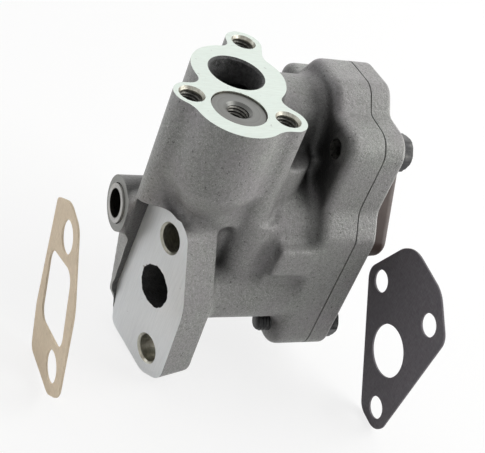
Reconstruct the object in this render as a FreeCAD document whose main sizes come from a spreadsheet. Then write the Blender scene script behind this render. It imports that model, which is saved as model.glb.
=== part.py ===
import FreeCAD, Part
import math
import os
import re
import Sketcher
from FreeCAD import Placement, Rotation, Vector

# Engine oil pump: cast iron body with a two-bolt block flange, a pickup pad and a relief valve,
# a rotor pair behind a bolted cover, and the two loose gaskets of the set.
# The shaft axis is X and points to the cover. Z is the pad's outward normal.
# The origin is the mouth of the drive socket, in the middle of the shaft's open end.

# Driving dimensions in millimetres and degrees.
SIZES = [
    ("shaft_d", 15.0, "drive shaft diameter"),
    ("running_fit", 0.04, "radial clearance of shaft, rotors and piston"),
    ("hex_af", 8.1, "drive hexagon across flats"),
    ("hex_depth", 19.0, "depth of the drive hexagon"),
    ("socket_mouth_d", 11.0, "round mouth of the drive socket"),
    ("socket_mouth_depth", 5.0, "depth of the round mouth"),
    ("boss_d", 21.5, "drive boss diameter"),
    ("boss_face_x", 0.8, "drive boss end face"),
    ("boss_end_x", 16.0, "where the boss grows into the bearing tube"),
    ("tube_d", 24.0, "bearing tube diameter"),
    ("bush_wall", 1.5, "bearing bush thickness"),
    ("bush_length", 24.0, "bearing bush length"),
    ("pad_z", 60.0, "pickup pad height over the shaft axis"),
    ("plug_x", 23.1, "relief valve axis along the shaft"),
    ("plug_y", -20.6, "relief valve axis across the shaft"),
    ("plug_d", 20.4, "relief plug diameter"),
    ("plug_length", 7.0, "relief plug thickness"),
    ("plug_thread_d", 7.2, "tapped hole in the relief plug"),
    ("barrel_r", 16.8, "outside radius of the relief barrel"),
    ("barrel_foot_z", 17.0, "lower end of the tapered foot of the relief barrel"),
    ("barrel_taper", 14.0, "height of that taper"),
    ("valve_bore_d", 16.0, "relief piston bore"),
    ("valve_seat_z", 25.0, "height of the relief piston seat"),
    ("valve_feed_d", 8.0, "drilling that feeds the relief piston"),
    ("piston_length", 13.0, "relief piston length"),
    ("piston_wall", 1.7, "relief piston skirt thickness"),
    ("piston_floor", 3.0, "relief piston crown thickness"),
    ("spring_wire_d", 1.8, "relief spring wire"),
    ("spring_d", 11.6, "relief spring outside diameter"),
    ("spring_turns", 6.0, "coils of the relief spring"),
    ("inlet_x", 30.5, "pickup inlet axis along the shaft"),
    ("inlet_y", 1.9, "pickup inlet axis across the shaft"),
    ("inlet_d", 20.0, "pickup inlet diameter"),
    ("inlet_floor_z", 24.0, "floor of the inlet drilling"),
    ("inlet_wall_r", 18.0, "outside radius round the inlet"),
    ("pad_hole_d", 6.8, "tapped holes in the pad, core diameter"),
    ("pad_hole_depth", 17.0, "depth of the tapped holes in the pad"),
    ("pad_chamfer_d", 8.8, "lead-in of the tapped holes"),
    ("left_x", 7.7, "left pad hole"),
    ("left_y", -13.8, "left pad hole"),
    ("left_r", 6.7, "radius of the left pad lobe"),
    ("right_x", 40.3, "right pad hole"),
    ("right_y", -25.2, "right pad hole"),
    ("right_r", 7.2, "radius of the right pad lobe"),
    ("far_x", 41.7, "far pad hole"),
    ("far_y", 23.8, "far pad hole"),
    ("far_r", 7.2, "radius of the far pad lobe"),
    ("cross_y", 4.5, "axis of the inlet crossover"),
    ("cross_z", 41.5, "axis of the inlet crossover"),
    ("cross_r", 16.0, "outside radius of the inlet crossover"),
    ("cross_bore_d", 21.0, "bore of the inlet crossover"),
    ("flange_yaw", 14.3, "turn of the block flange from the shaft's square"),
    ("flange_off", -6.2, "block flange face along its own normal"),
    ("flange_side", 31.8, "middle of the two flange holes, sideways"),
    ("flange_mid_z", -19.5, "middle of the two flange holes, height"),
    ("flange_pitch", 49.2, "distance between the flange holes"),
    ("flange_lean", 10.3, "lean of the line through the flange holes"),
    ("flange_hole_d", 10.7, "flange bolt holes"),
    ("flange_chamfer_d", 12.3, "lead-in of the flange bolt holes"),
    ("flange_thick", 14.0, "block flange thickness"),
    ("outlet_y", -26.0, "outlet passage axis"),
    ("outlet_z", -18.0, "outlet passage axis"),
    ("outlet_d", 16.5, "outlet passage diameter"),
    ("outlet_r", 12.3, "outside radius of the outlet passage"),
    ("joint_x", 82.0, "joint face of rotor housing and cover"),
    ("housing_thick", 15.5, "thickness of the bolted rim of the housing"),
    ("chamber_wall", 4.5, "wall of the rotor chamber round the rotors"),
    ("chamber_x", 50.0, "where the rotor chamber begins"),
    ("rotor_d", 56.0, "outer rotor diameter"),
    ("rotor_depth", 22.0, "rotor length"),
    ("end_float", 0.06, "rotor end clearance in the pocket"),
    ("eccentricity", 3.2, "offset of the outer rotor's axis"),
    ("lobe_roller_r", 9.2, "lobe radius of the outer rotor"),
    ("lobe_roller_pitch", 25.2, "radius of the circle of outer rotor lobes"),
    ("tip_gap", 0.09, "clearance between the two rotors"),
    ("rotor_pin_d", 4.0, "cross pin of the inner rotor"),
    ("port_depth", 7.0, "depth of the two crescent ports"),
    ("cover_thick", 9.0, "cover thickness"),
    ("cap_height", 12.0, "height of the smooth cap"),
    ("cap_wall", 2.0, "wall of the smooth cap"),
    ("cap_y", -1.5, "middle of the smooth cap"),
    ("cap_z", 18.0, "middle of the smooth cap"),
    ("cap_r", 28.0, "radius of the smooth cap"),
    ("bolt_d", 7.94, "cover bolt shank"),
    ("bolt_af", 12.7, "cover bolt head across flats"),
    ("bolt_head", 5.4, "cover bolt head height"),
    ("short_bolt", 21.0, "length of the upper cover bolts"),
    ("long_bolt", 30.0, "length of the lower cover bolts"),
    ("bolt_hole_d", 8.4, "clearance holes in the cover"),
    ("front_top_y", -22.6, "front upper cover bolt"),
    ("back_top_y", 23.0, "back upper cover bolt"),
    ("front_top_z", 47.0, "front upper cover bolt, height"),
    ("back_top_z", 41.0, "back upper cover bolt, height"),
    ("front_low_y", -29.0, "front lower cover bolt"),
    ("back_low_y", 22.0, "back lower cover bolt"),
    ("low_z", -35.0, "lower cover bolts, height"),
    ("dowel_d", 5.0, "cover dowel diameter"),
    ("dowel_length", 14.0, "cover dowel length"),
    ("front_dowel_wall", 5.3, "metal between the rotor pocket and the front dowel"),
    ("back_dowel_wall", 1.5, "metal between the rotor pocket and the back dowel"),
    ("block_x", 51.5, "front block, near end"),
    ("block_length", 15.5, "front block length"),
    ("block_y", -39.0, "outer edge of the front block"),
    ("block_top_z", 13.0, "top of the front block"),
    ("gallery_d", 6.0, "drillings from the outlet to the relief piston"),
    ("gallery_x", 48.0, "upright drilling, place along the shaft"),
    ("gallery_z", 19.5, "level drilling, height"),
    ("valve_sump", 9.0, "depth of the space under the piston seat"),
    ("relief_port_d", 7.0, "port from the relief bore to the inlet"),
    ("relief_port_z", 29.0, "height of that port"),
    ("rim_round", 3.2, "rounded shoulder of the housing rim"),
    ("cover_round", 1.6, "rounded outer edge of the cover"),
    ("bolt_lobe_r", 9.2, "lobes round the cover bolts"),
    ("port_inset", 16.0, "port crescents, inner edge inward from the outer rotor's edge"),
    ("ball_gap", 0.1, "gap between the closing ball and the outlet passage"),
    ("gasket_thick", 0.8, "gasket thickness"),
    ("gasket_hole_d", 12.4, "bolt holes of the flange gasket"),
    ("stand_z", -54.6, "level on which the loose gaskets stand"),
    ("block_gasket_x", -25.0, "flange gasket, place along the shaft"),
    ("block_gasket_y", -32.6, "flange gasket, place across the shaft"),
    ("block_gasket_lean", 22.4, "lean of the flange gasket"),
    ("pad_gasket_x", 104.5, "pickup gasket, place along the shaft"),
    ("pad_gasket_y", -52.0, "pickup gasket, place across the shaft"),
    ("pad_gasket_lean", 4.0, "lean of the pickup gasket"),
]
ALIASES = {row[0] for row in SIZES}

doc = FreeCAD.newDocument("oil_pump")
sheet = doc.addObject("Spreadsheet::Sheet", "Sizes")
for row, (alias, value, note) in enumerate(SIZES, start=1):
    sheet.set("A%d" % row, note)
    sheet.set("B%d" % row, str(value))
    sheet.setAlias("B%d" % row, alias)
doc.recompute()


def size(alias):
    """The number that the sheet holds under this name."""
    return float(sheet.get(alias))


def formula(text):
    """An expression whose words are names of cells in the sheet."""
    return re.sub(
        r"[a-z][a-z0-9_]*",
        lambda m: "Sizes." + m.group(0) if m.group(0) in ALIASES else m.group(0), str(text)
    )


def bind(obj, prop, text):
    obj.setExpression(prop, formula(text))


TURNS = {
    "z": Rotation(),
    "x": Rotation(Vector(0, 1, 0), 90),
    "y": Rotation(Vector(1, 0, 0), -90),
}


def put(obj, at, turn):
    """Turn the object and bind its place to three expressions."""
    obj.Placement = Placement(Vector(0, 0, 0), turn)
    for axis, text in zip("xyz", at):
        bind(obj, "Placement.Base." + axis, text)


def cylinder(name, radius, height, at, along="z"):
    obj = doc.addObject("Part::Cylinder", name)
    bind(obj, "Radius", radius)
    bind(obj, "Height", height)
    put(obj, at, TURNS[along] if isinstance(along, str) else along)
    return obj


def cone(name, radius1, radius2, height, at, along="z"):
    obj = doc.addObject("Part::Cone", name)
    bind(obj, "Radius1", radius1)
    bind(obj, "Radius2", radius2)
    bind(obj, "Height", height)
    put(obj, at, TURNS[along] if isinstance(along, str) else along)
    return obj


def box(name, length, width, height, at):
    obj = doc.addObject("Part::Box", name)
    bind(obj, "Length", length)
    bind(obj, "Width", width)
    bind(obj, "Height", height)
    put(obj, at, Rotation())
    return obj


def fuse(name, parts):
    obj = doc.addObject("Part::MultiFuse", name)
    obj.Shapes = parts
    obj.Refine = True
    return obj


def cut(name, base, tools):
    tool = tools[0]
    if len(tools) > 1:
        tool = doc.addObject("Part::MultiFuse", name + "_cuts")
        tool.Shapes = tools
    obj = doc.addObject("Part::Cut", name)
    obj.Base = base
    obj.Tool = tool
    return obj


def rounded(corners):
    """Lines and tangent arcs through corner points (a, b, radius)."""
    count = len(corners)
    joints = []
    for i in range(count):
        before = Vector(corners[i - 1][0], corners[i - 1][1], 0)
        here = Vector(corners[i][0], corners[i][1], 0)
        after = Vector(corners[(i + 1) % count][0], corners[(i + 1) % count][1], 0)
        radius = corners[i][2]
        back = Vector(before - here).normalize()
        ahead = Vector(after - here).normalize()
        half = back.getAngle(ahead) / 2
        room = 0.48 * min((before - here).Length, (after - here).Length)
        if radius > 0:
            radius = min(radius, room * math.tan(half))
        reach = radius / math.tan(half) if radius > 0 else 0.0
        start = here + back * reach
        end = here + ahead * reach
        middle = here
        if radius > 0:
            toward = (back + ahead).normalize()
            middle = here + toward * (radius / math.sin(half) - radius)
        joints.append((start, middle, end, radius))
    edges = []
    for i in range(count):
        start, middle, end, radius = joints[i]
        if radius > 0:
            edges.append(Part.Arc(start, middle, end))
        following = joints[(i + 1) % count][0]
        if (following - end).Length > 1e-6:
            edges.append(Part.LineSegment(end, following))
    return edges


def hull(a, radius_a, b, radius_b):
    """Outline of two circles and their outer tangents."""
    ax, ay = a
    bx, by = b
    gap = math.hypot(bx - ax, by - ay)
    heading = math.atan2(by - ay, bx - ax)
    swing = math.acos((radius_a - radius_b) / gap)

    def spot(cx, cy, radius, angle):
        return Vector(cx + radius * math.cos(angle), cy + radius * math.sin(angle), 0)

    a1 = spot(ax, ay, radius_a, heading + swing)
    a2 = spot(ax, ay, radius_a, heading - swing)
    b1 = spot(bx, by, radius_b, heading + swing)
    b2 = spot(bx, by, radius_b, heading - swing)
    return [
        Part.Arc(a1, spot(ax, ay, radius_a, heading + math.pi), a2),
        Part.LineSegment(a2, b2),
        Part.Arc(b2, spot(bx, by, radius_b, heading), b1),
        Part.LineSegment(b1, a1),
    ]


def prism(name, edges, depth, at, turn=Rotation()):
    """A sketched outline drawn out along its own normal."""
    sketch = doc.addObject("Sketcher::SketchObject", name + "_outline")
    for edge in edges:
        sketch.addGeometry(edge, False)
    put(sketch, at, turn)
    solid = doc.addObject("Part::Extrusion", name)
    solid.Base = sketch
    solid.DirMode = "Normal"
    solid.Solid = True
    bind(solid, "LengthFwd", depth)
    return solid


def plane_of(body, role):
    for feature in body.Origin.OriginFeatures:
        if feature.Role == role:
            return feature
    return None


def body_sketch(body, name, role, edges, offset=None):
    """A sketch on one of the body's own origin planes."""
    sketch = body.newObject("Sketcher::SketchObject", name)
    sketch.AttachmentSupport = [(plane_of(body, role), "")]
    sketch.MapMode = "FlatFace"
    for edge in edges:
        sketch.addGeometry(edge, False)
    if offset is not None:
        bind(sketch, "AttachmentOffset.Base.z", offset)
    return sketch


def circle(x, y, radius):
    return Part.Circle(Vector(x, y, 0), Vector(0, 0, 1), radius)


def radius_rule(sketch, index, name, text):
    """Tie a circle's radius in a sketch to the sheet."""
    number = sketch.addConstraint(Sketcher.Constraint("Radius", index, sketch.Geometry[index].Radius))
    sketch.renameConstraint(number, name)
    bind(sketch, "Constraints." + name, text)


def pad_feature(body, name, sketch, length, reverse=False):
    feature = body.newObject("PartDesign::Pad", name)
    feature.Profile = sketch
    bind(feature, "Length", length)
    feature.Reversed = reverse
    sketch.Visibility = False
    return feature


def pocket_feature(body, name, sketch, length, reverse=False):
    feature = body.newObject("PartDesign::Pocket", name)
    feature.Profile = sketch
    bind(feature, "Length", length)
    feature.Reversed = reverse
    return feature


# The sketch plane across the shaft: its first direction is Y, its second is Z, its normal is X.
ACROSS = Rotation(Vector(0, 1, 0), Vector(0, 0, 1), Vector(1, 0, 0), "XYZ")


def flange_turn():
    """Sketch plane of the block flange: first direction sideways, second up, normal out of the casting."""
    yaw = math.radians(size("flange_yaw"))
    side = Vector(math.sin(yaw), -math.cos(yaw), 0)
    up = Vector(0, 0, 1)
    return Rotation(side, up, side.cross(up), "XYZ")


def flange_point(side, depth=0.0):
    """Place on the flange face, this far sideways and this deep behind it."""
    x = "-(flange_off) * cos(flange_yaw) + (%s) * sin(flange_yaw) + (%s) * cos(flange_yaw)" % (side, depth)
    y = "-(flange_off) * sin(flange_yaw) - (%s) * cos(flange_yaw) + (%s) * sin(flange_yaw)" % (side, depth)
    return x.replace("flange_yaw", "flange_yaw * 1 deg"), y.replace("flange_yaw", "flange_yaw * 1 deg")


def flange_outline(grow=0.0):
    """Outline of the block flange about the middle of its bolt holes: a is sideways, b is along the holes."""
    half = size("flange_pitch") / 2
    return rounded([
        (-24.5 - grow, -half - 3.5, 4.0),
        (-24.5 - grow, -half + 14.6, 12.0),
        (-14.8, half + 10.0, 2.5),
        (-1.5, half + 12.4, 12.0),
        (9.6 + grow, half + 6.4, 7.0),
        (16.0 + grow, 2.0, 24.0),
        (11.2 + grow, -half - 7.6, 7.0),
        (-0.5, -half - 11.2, 7.0),
    ])


def rim_outline():
    """Outline that rotor housing and cover share: Y and Z, with the lobes of the four bolts."""
    lobe = size("bolt_lobe_r")
    front = size("front_low_y") - lobe
    front_top = size("front_top_y") - lobe
    back = size("back_low_y") + lobe
    back_top = size("back_top_y") + lobe
    low = size("low_z") - lobe
    top = size("front_top_z") + lobe
    bulge = size("pad_z") + 4.8
    back_height = size("back_top_z") + lobe
    middle = size("cross_y")
    return rounded([
        (front, low, lobe),
        (front, 15.5, 8.0),
        (front_top, 25.0, 8.0),
        (front_top, top, lobe),
        (middle - 18.0, top + 0.5, 4.0),
        (middle - 11.0, bulge, 8.0),
        (middle + 9.0, bulge - 1.0, 8.0),
        (middle + 17.0, back_height + 1.0, 4.0),
        (back_top, back_height, lobe),
        (back_top, 24.0, 8.0),
        (back, 14.0, 8.0),
        (back, low, lobe),
    ])


def pad_web():
    """Flat between the pad's lobes and the two bores."""
    left = (size("left_x"), size("left_y"))
    right = (size("right_x"), size("right_y"))
    far = (size("far_x"), size("far_y"))
    inlet = (size("inlet_x"), size("inlet_y"))
    plug = (size("plug_x"), size("plug_y"))
    return rounded([
        (left[0] - 2.0, left[1] + 4.4, 0.0),
        (left[0] + 6.3, left[1] + 8.6, 1.8),
        (inlet[0] - 14.0, inlet[1] + 4.0, 0.0),
        (inlet[0] + 3.4, inlet[1] + 17.2, 1.8),
        (far[0] - 6.6, far[1] + 1.0, 0.0),
        (far[0] + 6.3, far[1] - 3.6, 0.0),
        (inlet[0] + 15.4, inlet[1] + 12.4, 1.8),
        (inlet[0] + 17.4, inlet[1] - 4.0, 0.0),
        (right[0] + 0.8, right[1] + 11.4, 1.8),
        (right[0] + 5.6, right[1] + 3.4, 0.0),
        (right[0] + 1.0, right[1] - 6.0, 0.0),
        (plug[0] + 8.0, plug[1] - 13.6, 0.0),
        (plug[0] - 12.0, plug[1] - 9.6, 0.0),
        (left[0] - 4.4, left[1] - 3.6, 0.0),
    ])


def crescent(upper):
    """One kidney port in the floor of the rotor pocket, Y and Z about the shaft."""
    inner = size("rotor_d") / 2 - size("port_inset")
    outer = size("lobe_roller_pitch") - 5.0
    sign = 1 if upper else -1
    start = math.radians(24)
    stop = math.radians(156)
    offset = -size("eccentricity") / 2

    def spot(radius, angle):
        return Vector(offset + radius * math.cos(angle), sign * radius * math.sin(angle), 0)

    mid = math.pi / 2
    return [
        Part.Arc(spot(outer, start), spot(outer, mid), spot(outer, stop)),
        Part.Arc(spot(outer, stop), spot((inner + outer) / 2, stop + 0.2), spot(inner, stop)),
        Part.Arc(spot(inner, stop), spot(inner, mid), spot(inner, start)),
        Part.Arc(spot(inner, start), spot((inner + outer) / 2, start - 0.2), spot(outer, start)),
    ]


def cast_solid():
    """The casting before any machining: barrel, pad lobes, boss, flange, passages and rotor housing."""
    neck_near = (size("plug_x") + 5.0, size("plug_y") + 1.5)
    neck_mid = (size("plug_x") + 19.9, size("plug_y") - 1.4)
    neck_far = (size("plug_x") + 26.0, size("plug_y") + 6.5)
    parts = [
        cylinder(
            "barrel", "barrel_r", "pad_z - barrel_foot_z - barrel_taper",
            ("plug_x", "plug_y", "barrel_foot_z + barrel_taper")
        ),
        cone(
            "barrel_foot", "barrel_r / 2", "barrel_r", "barrel_taper",
            ("plug_x", "plug_y", "barrel_foot_z")
        ),
        cylinder("inlet_column", "inlet_wall_r", "pad_z - 8", ("inlet_x + 0.8", "inlet_y - 0.4", "8")),
        cylinder("left_column", "left_r", "pad_z + 8", ("left_x", "left_y", "-8")),
        cylinder(
            "right_column", "right_r", "pad_z - outlet_z - 12",
            ("right_x", "right_y", "outlet_z + 12")
        ),
        cylinder("far_column", "far_r", "pad_z - cross_z + 8", ("far_x", "far_y", "cross_z - 8")),
        prism(
            "pad_deck", pad_web(), "pad_z - barrel_foot_z - barrel_taper",
            ("0", "0", "barrel_foot_z + barrel_taper")
        ),
        cylinder(
            "drive_boss", "boss_d / 2", "boss_end_x - boss_face_x + 6", ("boss_face_x", "0", "0"),
            "x"
        ),
        prism(
            "barrel_shoulder", hull(neck_near, 12.0, neck_far, 12.5), "24",
            ("0", "0", "barrel_foot_z - 2"), Rotation()
        ),
        prism(
            "neck_column", hull(neck_mid, 11.5, neck_far, 12.5), "barrel_foot_z - outlet_z - 2",
            ("0", "0", "outlet_z + 2"), Rotation()
        ),
        cylinder("bearing_tube", "tube_d / 2", "chamber_x - boss_end_x + 4", ("boss_end_x", "0", "0"), "x"),
        cylinder(
            "outlet_tube", "outlet_r", "joint_x - housing_thick - 14",
            ("20", "outlet_y", "outlet_z"), "x"
        ),
        cylinder(
            "crossover", "cross_r", "joint_x - inlet_x - 4", ("inlet_x + 2", "cross_y", "cross_z"),
            "x"
        ),
        cylinder(
            "chamber", "rotor_d / 2 + chamber_wall", "joint_x - chamber_x - 4",
            ("chamber_x", "-eccentricity", "0"), "x"
        ),
        box("neck", "chamber_x - 34", "18", "42", ("38", "plug_y + 2", "outlet_z + 4")),
        box("under_web", "chamber_x - 18", "26", "24", ("22", "outlet_y + 4", "outlet_z - 8")),
        boss_rib(),
        box("upper_web", "chamber_x - 12", "24", "30", ("20", "-10", "0")),
        box("slot_floor", "joint_x - chamber_x - 2", "24", "30", ("chamber_x - 4", "-8", "10")),
        front_block(),
        soft_rim(),
        block_flange(),
    ]
    return fuse("casting", parts)


def boss_rib():
    """Tapering web from the drive boss down along the flange's inner edge."""
    outline = rounded([
        (6.0, 4.0, 0.0), (5.4, -12.0, 2.0), (10.0, -46.0, 0.0), (24.0, -46.0, 0.0), (24.0, 4.0, 0.0)
    ])
    return prism("boss_rib", outline, "10", ("0", "2", "0"), Rotation(Vector(1, 0, 0), 90))


def soft_rim():
    """Bolted rim of the rotor housing with a rounded shoulder toward the barrel."""
    rim = prism("rim_slab", rim_outline(), "housing_thick", ("joint_x - housing_thick", "0", "0"), ACROSS)
    doc.recompute()
    start = size("joint_x") - size("housing_thick")
    soft = doc.addObject("Part::Fillet", "rim")
    soft.Base = rim
    radius = size("rim_round")
    picked = []
    for number, edge in enumerate(rim.Shape.Edges, start=1):
        if edge.BoundBox.XLength < 1e-3 and abs(edge.BoundBox.XMin - start) < 1e-3:
            picked.append((number, radius, radius))
    soft.Edges = picked
    return soft


def front_block():
    """Angular block between barrel and housing, with a slanting top."""
    edge = size("block_y")
    top = size("block_top_z")
    corners = [
        (-18.0, top, 0.0), (edge + 8.0, top, 2.0), (edge, top - 3.0, 1.5),
        (edge + 1.0, top - 15.0, 1.5), (edge + 9.0, top - 21.0, 0.0), (-18.0, top - 23.0, 0.0)
    ]
    return prism("front_block", rounded(corners), "block_length", ("block_x", "0", "0"), ACROSS)


def block_flange():
    x, y = flange_point("flange_side", "flange_thick")
    turn = flange_turn().multiply(Rotation(Vector(0, 0, 1), size("flange_lean")))
    return prism("block_flange", flange_outline(), "flange_thick", (x, y, "flange_mid_z"), turn)


def flange_bores():
    """Bolt holes with their lead-ins, and the cleared space in front of the machined face."""
    turn = flange_turn()
    lean = turn.multiply(Rotation(Vector(0, 0, 1), size("flange_lean")))
    x, y = flange_point("flange_side")
    cuts = [prism("face_clearance", flange_outline(0.4), "30", (x, y, "flange_mid_z"), lean)]
    for name, sign in (("upper", "-"), ("lower", "+")):
        side = "flange_side %s flange_pitch / 2 * sin(flange_lean * 1 deg)" % sign
        opposite = "+" if sign == "-" else "-"
        height = "flange_mid_z %s flange_pitch / 2 * cos(flange_lean * 1 deg)" % opposite
        x, y = flange_point(side, "flange_thick + 9")
        cuts.append(cylinder(
            name + "_bolt_hole", "flange_hole_d / 2", "flange_thick + 10", (x, y, height), turn
        ))
        x, y = flange_point(side, "flange_thick + 8")
        cuts.append(cylinder(name + "_spot_face", "flange_hole_d / 2 + 2.6", "8", (x, y, height), turn))
        x, y = flange_point(side, "(flange_chamfer_d - flange_hole_d) / 2")
        cuts.append(cone(
            name + "_lead_in", "flange_hole_d / 2", "flange_chamfer_d / 2 + 0.2",
            "(flange_chamfer_d - flange_hole_d) / 2 + 0.2", (x, y, height), turn
        ))
    return cuts


def tapped_hole(name, x, y):
    """Core of a tapped hole in the pad and its lead-in."""
    lead = "(pad_chamfer_d - pad_hole_d) / 2"
    return [
        cylinder(name + "_hole", "pad_hole_d / 2", "pad_hole_depth + 1", (x, y, "pad_z - pad_hole_depth")),
        cone(
            name + "_lead", "pad_hole_d / 2", "pad_chamfer_d / 2 + 0.2", lead + " + 0.2",
            (x, y, "pad_z - " + lead)
        ),
    ]


def body_bores():
    """All machined and cored spaces of the body."""
    floor = "joint_x - rotor_depth - end_float"
    cuts = [
        cylinder("shaft_bore", "shaft_d / 2 + running_fit", floor + " + 3", ("-2", "0", "0"), "x"),
        cylinder(
            "bush_bore", "shaft_d / 2 + bush_wall", "bush_length + 1",
            (floor + " - bush_length", "0", "0"), "x"
        ),
        cylinder(
            "rotor_pocket", "rotor_d / 2 + running_fit", "rotor_depth + end_float + 2",
            (floor, "-eccentricity", "0"), "x"
        ),
        prism("inlet_port", crescent(True), "port_depth + 1", (floor + " - port_depth", "0", "0"), ACROSS),
        prism(
            "outlet_port", crescent(False), "port_depth + 1", (floor + " - port_depth", "0", "0"),
            ACROSS
        ),
        cylinder(
            "inlet_bore", "inlet_d / 2", "pad_z - inlet_floor_z + 1",
            ("inlet_x", "inlet_y", "inlet_floor_z")
        ),
        cone(
            "inlet_lead", "inlet_d / 2", "inlet_d / 2 + 0.8", "0.8",
            ("inlet_x", "inlet_y", "pad_z - 0.6")
        ),
        cylinder(
            "cross_bore", "cross_bore_d / 2", "joint_x - inlet_x + 2",
            ("inlet_x", "cross_y", "cross_z"), "x"
        ),
        cylinder("plug_seat", "plug_d / 2", "plug_length + 1", ("plug_x", "plug_y", "pad_z - plug_length")),
        cylinder(
            "valve_bore", "valve_bore_d / 2", "pad_z - valve_seat_z",
            ("plug_x", "plug_y", "valve_seat_z")
        ),
        cylinder(
            "valve_sump", "valve_feed_d / 2", "valve_sump + 1",
            ("plug_x", "plug_y", "valve_seat_z - valve_sump")
        ),
        cylinder(
            "level_drilling", "gallery_d / 2", "gallery_x - plug_x",
            ("plug_x", "plug_y", "gallery_z"), "x"
        ),
        cylinder("upright_drilling", "gallery_d / 2", "gallery_z + 40", ("gallery_x", "plug_y", "-40")),
        cylinder(
            "relief_port", "relief_port_d / 2", "inlet_y - plug_y",
            ("plug_x + 2", "plug_y", "relief_port_z"), "y"
        ),
        cylinder("outlet_bore", "outlet_d / 2", floor + " - 2 - 6", ("6", "outlet_y", "outlet_z"), "x"),
        outlet_link(),
    ]
    for name in ("left", "right", "far"):
        cuts += tapped_hole(name, name + "_x", name + "_y")
    for name, y, z in bolt_places():
        cuts.append(cylinder(
            name + "_thread", "bolt_d / 2", "housing_thick + 2",
            ("joint_x - housing_thick - 1", y, z), "x"
        ))
    for name, y, z in dowel_places():
        cuts.append(cylinder(
            name + "_socket", "dowel_d / 2", "dowel_length / 2 + 1",
            ("joint_x - dowel_length / 2", y, z), "x"
        ))
    return cuts + flange_bores()


def outlet_link():
    """Cored passage from the outlet drilling up to its crescent port."""
    reach = Vector(0, -size("outlet_y") - 10.0, -size("outlet_z") - 6.0)
    turn = Rotation(Vector(0, 0, 1), reach)
    at = ("joint_x - rotor_depth - end_float - 5.2", "outlet_y", "outlet_z")
    obj = cylinder("outlet_link", "4.4", "18", at, turn)
    return obj


def bolt_places():
    return [
        ("front_top", "front_top_y", "front_top_z"),
        ("back_top", "back_top_y", "back_top_z"),
        ("front_low", "front_low_y", "low_z"),
        ("back_low", "back_low_y", "low_z"),
    ]


DOWEL_ANGLES = {"front_dowel": 125.9, "back_dowel": -30.0}


def dowel_places():
    """Two dowels just outside the rotor pocket, each at its own angle about the pocket's axis."""
    places = []
    for name, angle in DOWEL_ANGLES.items():
        reach = "(rotor_d / 2 + %s_wall + dowel_d / 2)" % name
        places.append((
            name, "%s * cos(%s * 1 deg) - eccentricity" % (reach, angle),
            "%s * sin(%s * 1 deg)" % (reach, angle)
        ))
    return places


def dowel_spot(name):
    """The same place as numbers, Y and Z."""
    reach = size("rotor_d") / 2 + size(name + "_wall") + size("dowel_d") / 2
    angle = math.radians(DOWEL_ANGLES[name])
    return reach * math.cos(angle) - size("eccentricity"), reach * math.sin(angle)


def make_body():
    return cut("pump_body", cast_solid(), body_bores())


def make_bush():
    at = "joint_x - rotor_depth - end_float - bush_length"
    outside = cylinder("bush_outside", "shaft_d / 2 + bush_wall", "bush_length", (at, "0", "0"), "x")
    inside = cylinder(
        "bush_inside", "shaft_d / 2 + running_fit", "bush_length + 2", (at + " - 1", "0", "0"), "x"
    )
    return cut("shaft_bush", outside, [inside])


def make_shaft():
    """Shaft with its socket: a round mouth, then the hexagon, and the cross hole of the rotor pin."""
    bar = cylinder("shaft_bar", "shaft_d / 2", "joint_x + cover_thick - 3.5", ("0", "0", "0"), "x")
    hexagon = doc.addObject("Part::Prism", "drive_hexagon")
    hexagon.Polygon = 6
    bind(hexagon, "Circumradius", "hex_af / 2 / cos(30 * 1 deg)")
    bind(hexagon, "Height", "hex_depth + 1")
    put(hexagon, ("-1", "0", "0"), TURNS["x"])
    mouth = cylinder("socket_mouth", "socket_mouth_d / 2", "socket_mouth_depth + 1", ("-1", "0", "0"), "x")
    hole = cylinder("shaft_pin_hole", "rotor_pin_d / 2", "shaft_d + 2", (PIN_X, "0", "-shaft_d / 2 - 1"))
    return cut("drive_shaft", bar, [hexagon, mouth, hole])


PIN_X = "joint_x - rotor_depth / 2"


def make_pin():
    return cylinder("rotor_pin", "rotor_pin_d / 2", "shaft_d + 7", (PIN_X, "0", "-shaft_d / 2 - 3.5"))


def inner_profile():
    """Envelope of the outer rotor's lobes as the pair turns, eased by the tip gap."""
    pitch = size("lobe_roller_pitch")
    shift = size("eccentricity")
    roller = size("lobe_roller_r") + size("tip_gap")
    outer_lobes = 5
    count = 96
    points = []
    for i in range(count):
        turn = 2 * math.pi * i / count
        cx = pitch * math.cos(turn) + shift * math.cos(outer_lobes * turn)
        cy = pitch * math.sin(turn) + shift * math.sin(outer_lobes * turn)
        dx = -pitch * math.sin(turn) - outer_lobes * shift * math.sin(outer_lobes * turn)
        dy = pitch * math.cos(turn) + outer_lobes * shift * math.cos(outer_lobes * turn)
        length = math.hypot(dx, dy)
        points.append(Vector(-(cx - roller * dy / length), -(cy + roller * dx / length), 0))
    curve = Part.BSplineCurve()
    curve.interpolate(Points=points, PeriodicFlag=True)
    return [curve]


def make_inner_rotor():
    lobes = prism(
        "inner_lobes", inner_profile(), "rotor_depth - end_float",
        ("joint_x - rotor_depth", "0", "0"), ACROSS
    )
    hole = cylinder(
        "inner_shaft_hole", "shaft_d / 2", "rotor_depth + 2",
        ("joint_x - rotor_depth - 1", "0", "0"), "x"
    )
    pin = cylinder("inner_pin_hole", "rotor_pin_d / 2", "shaft_d + 7", (PIN_X, "0", "-shaft_d / 2 - 3.5"))
    return cut("inner_rotor", lobes, [hole, pin])


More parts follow.
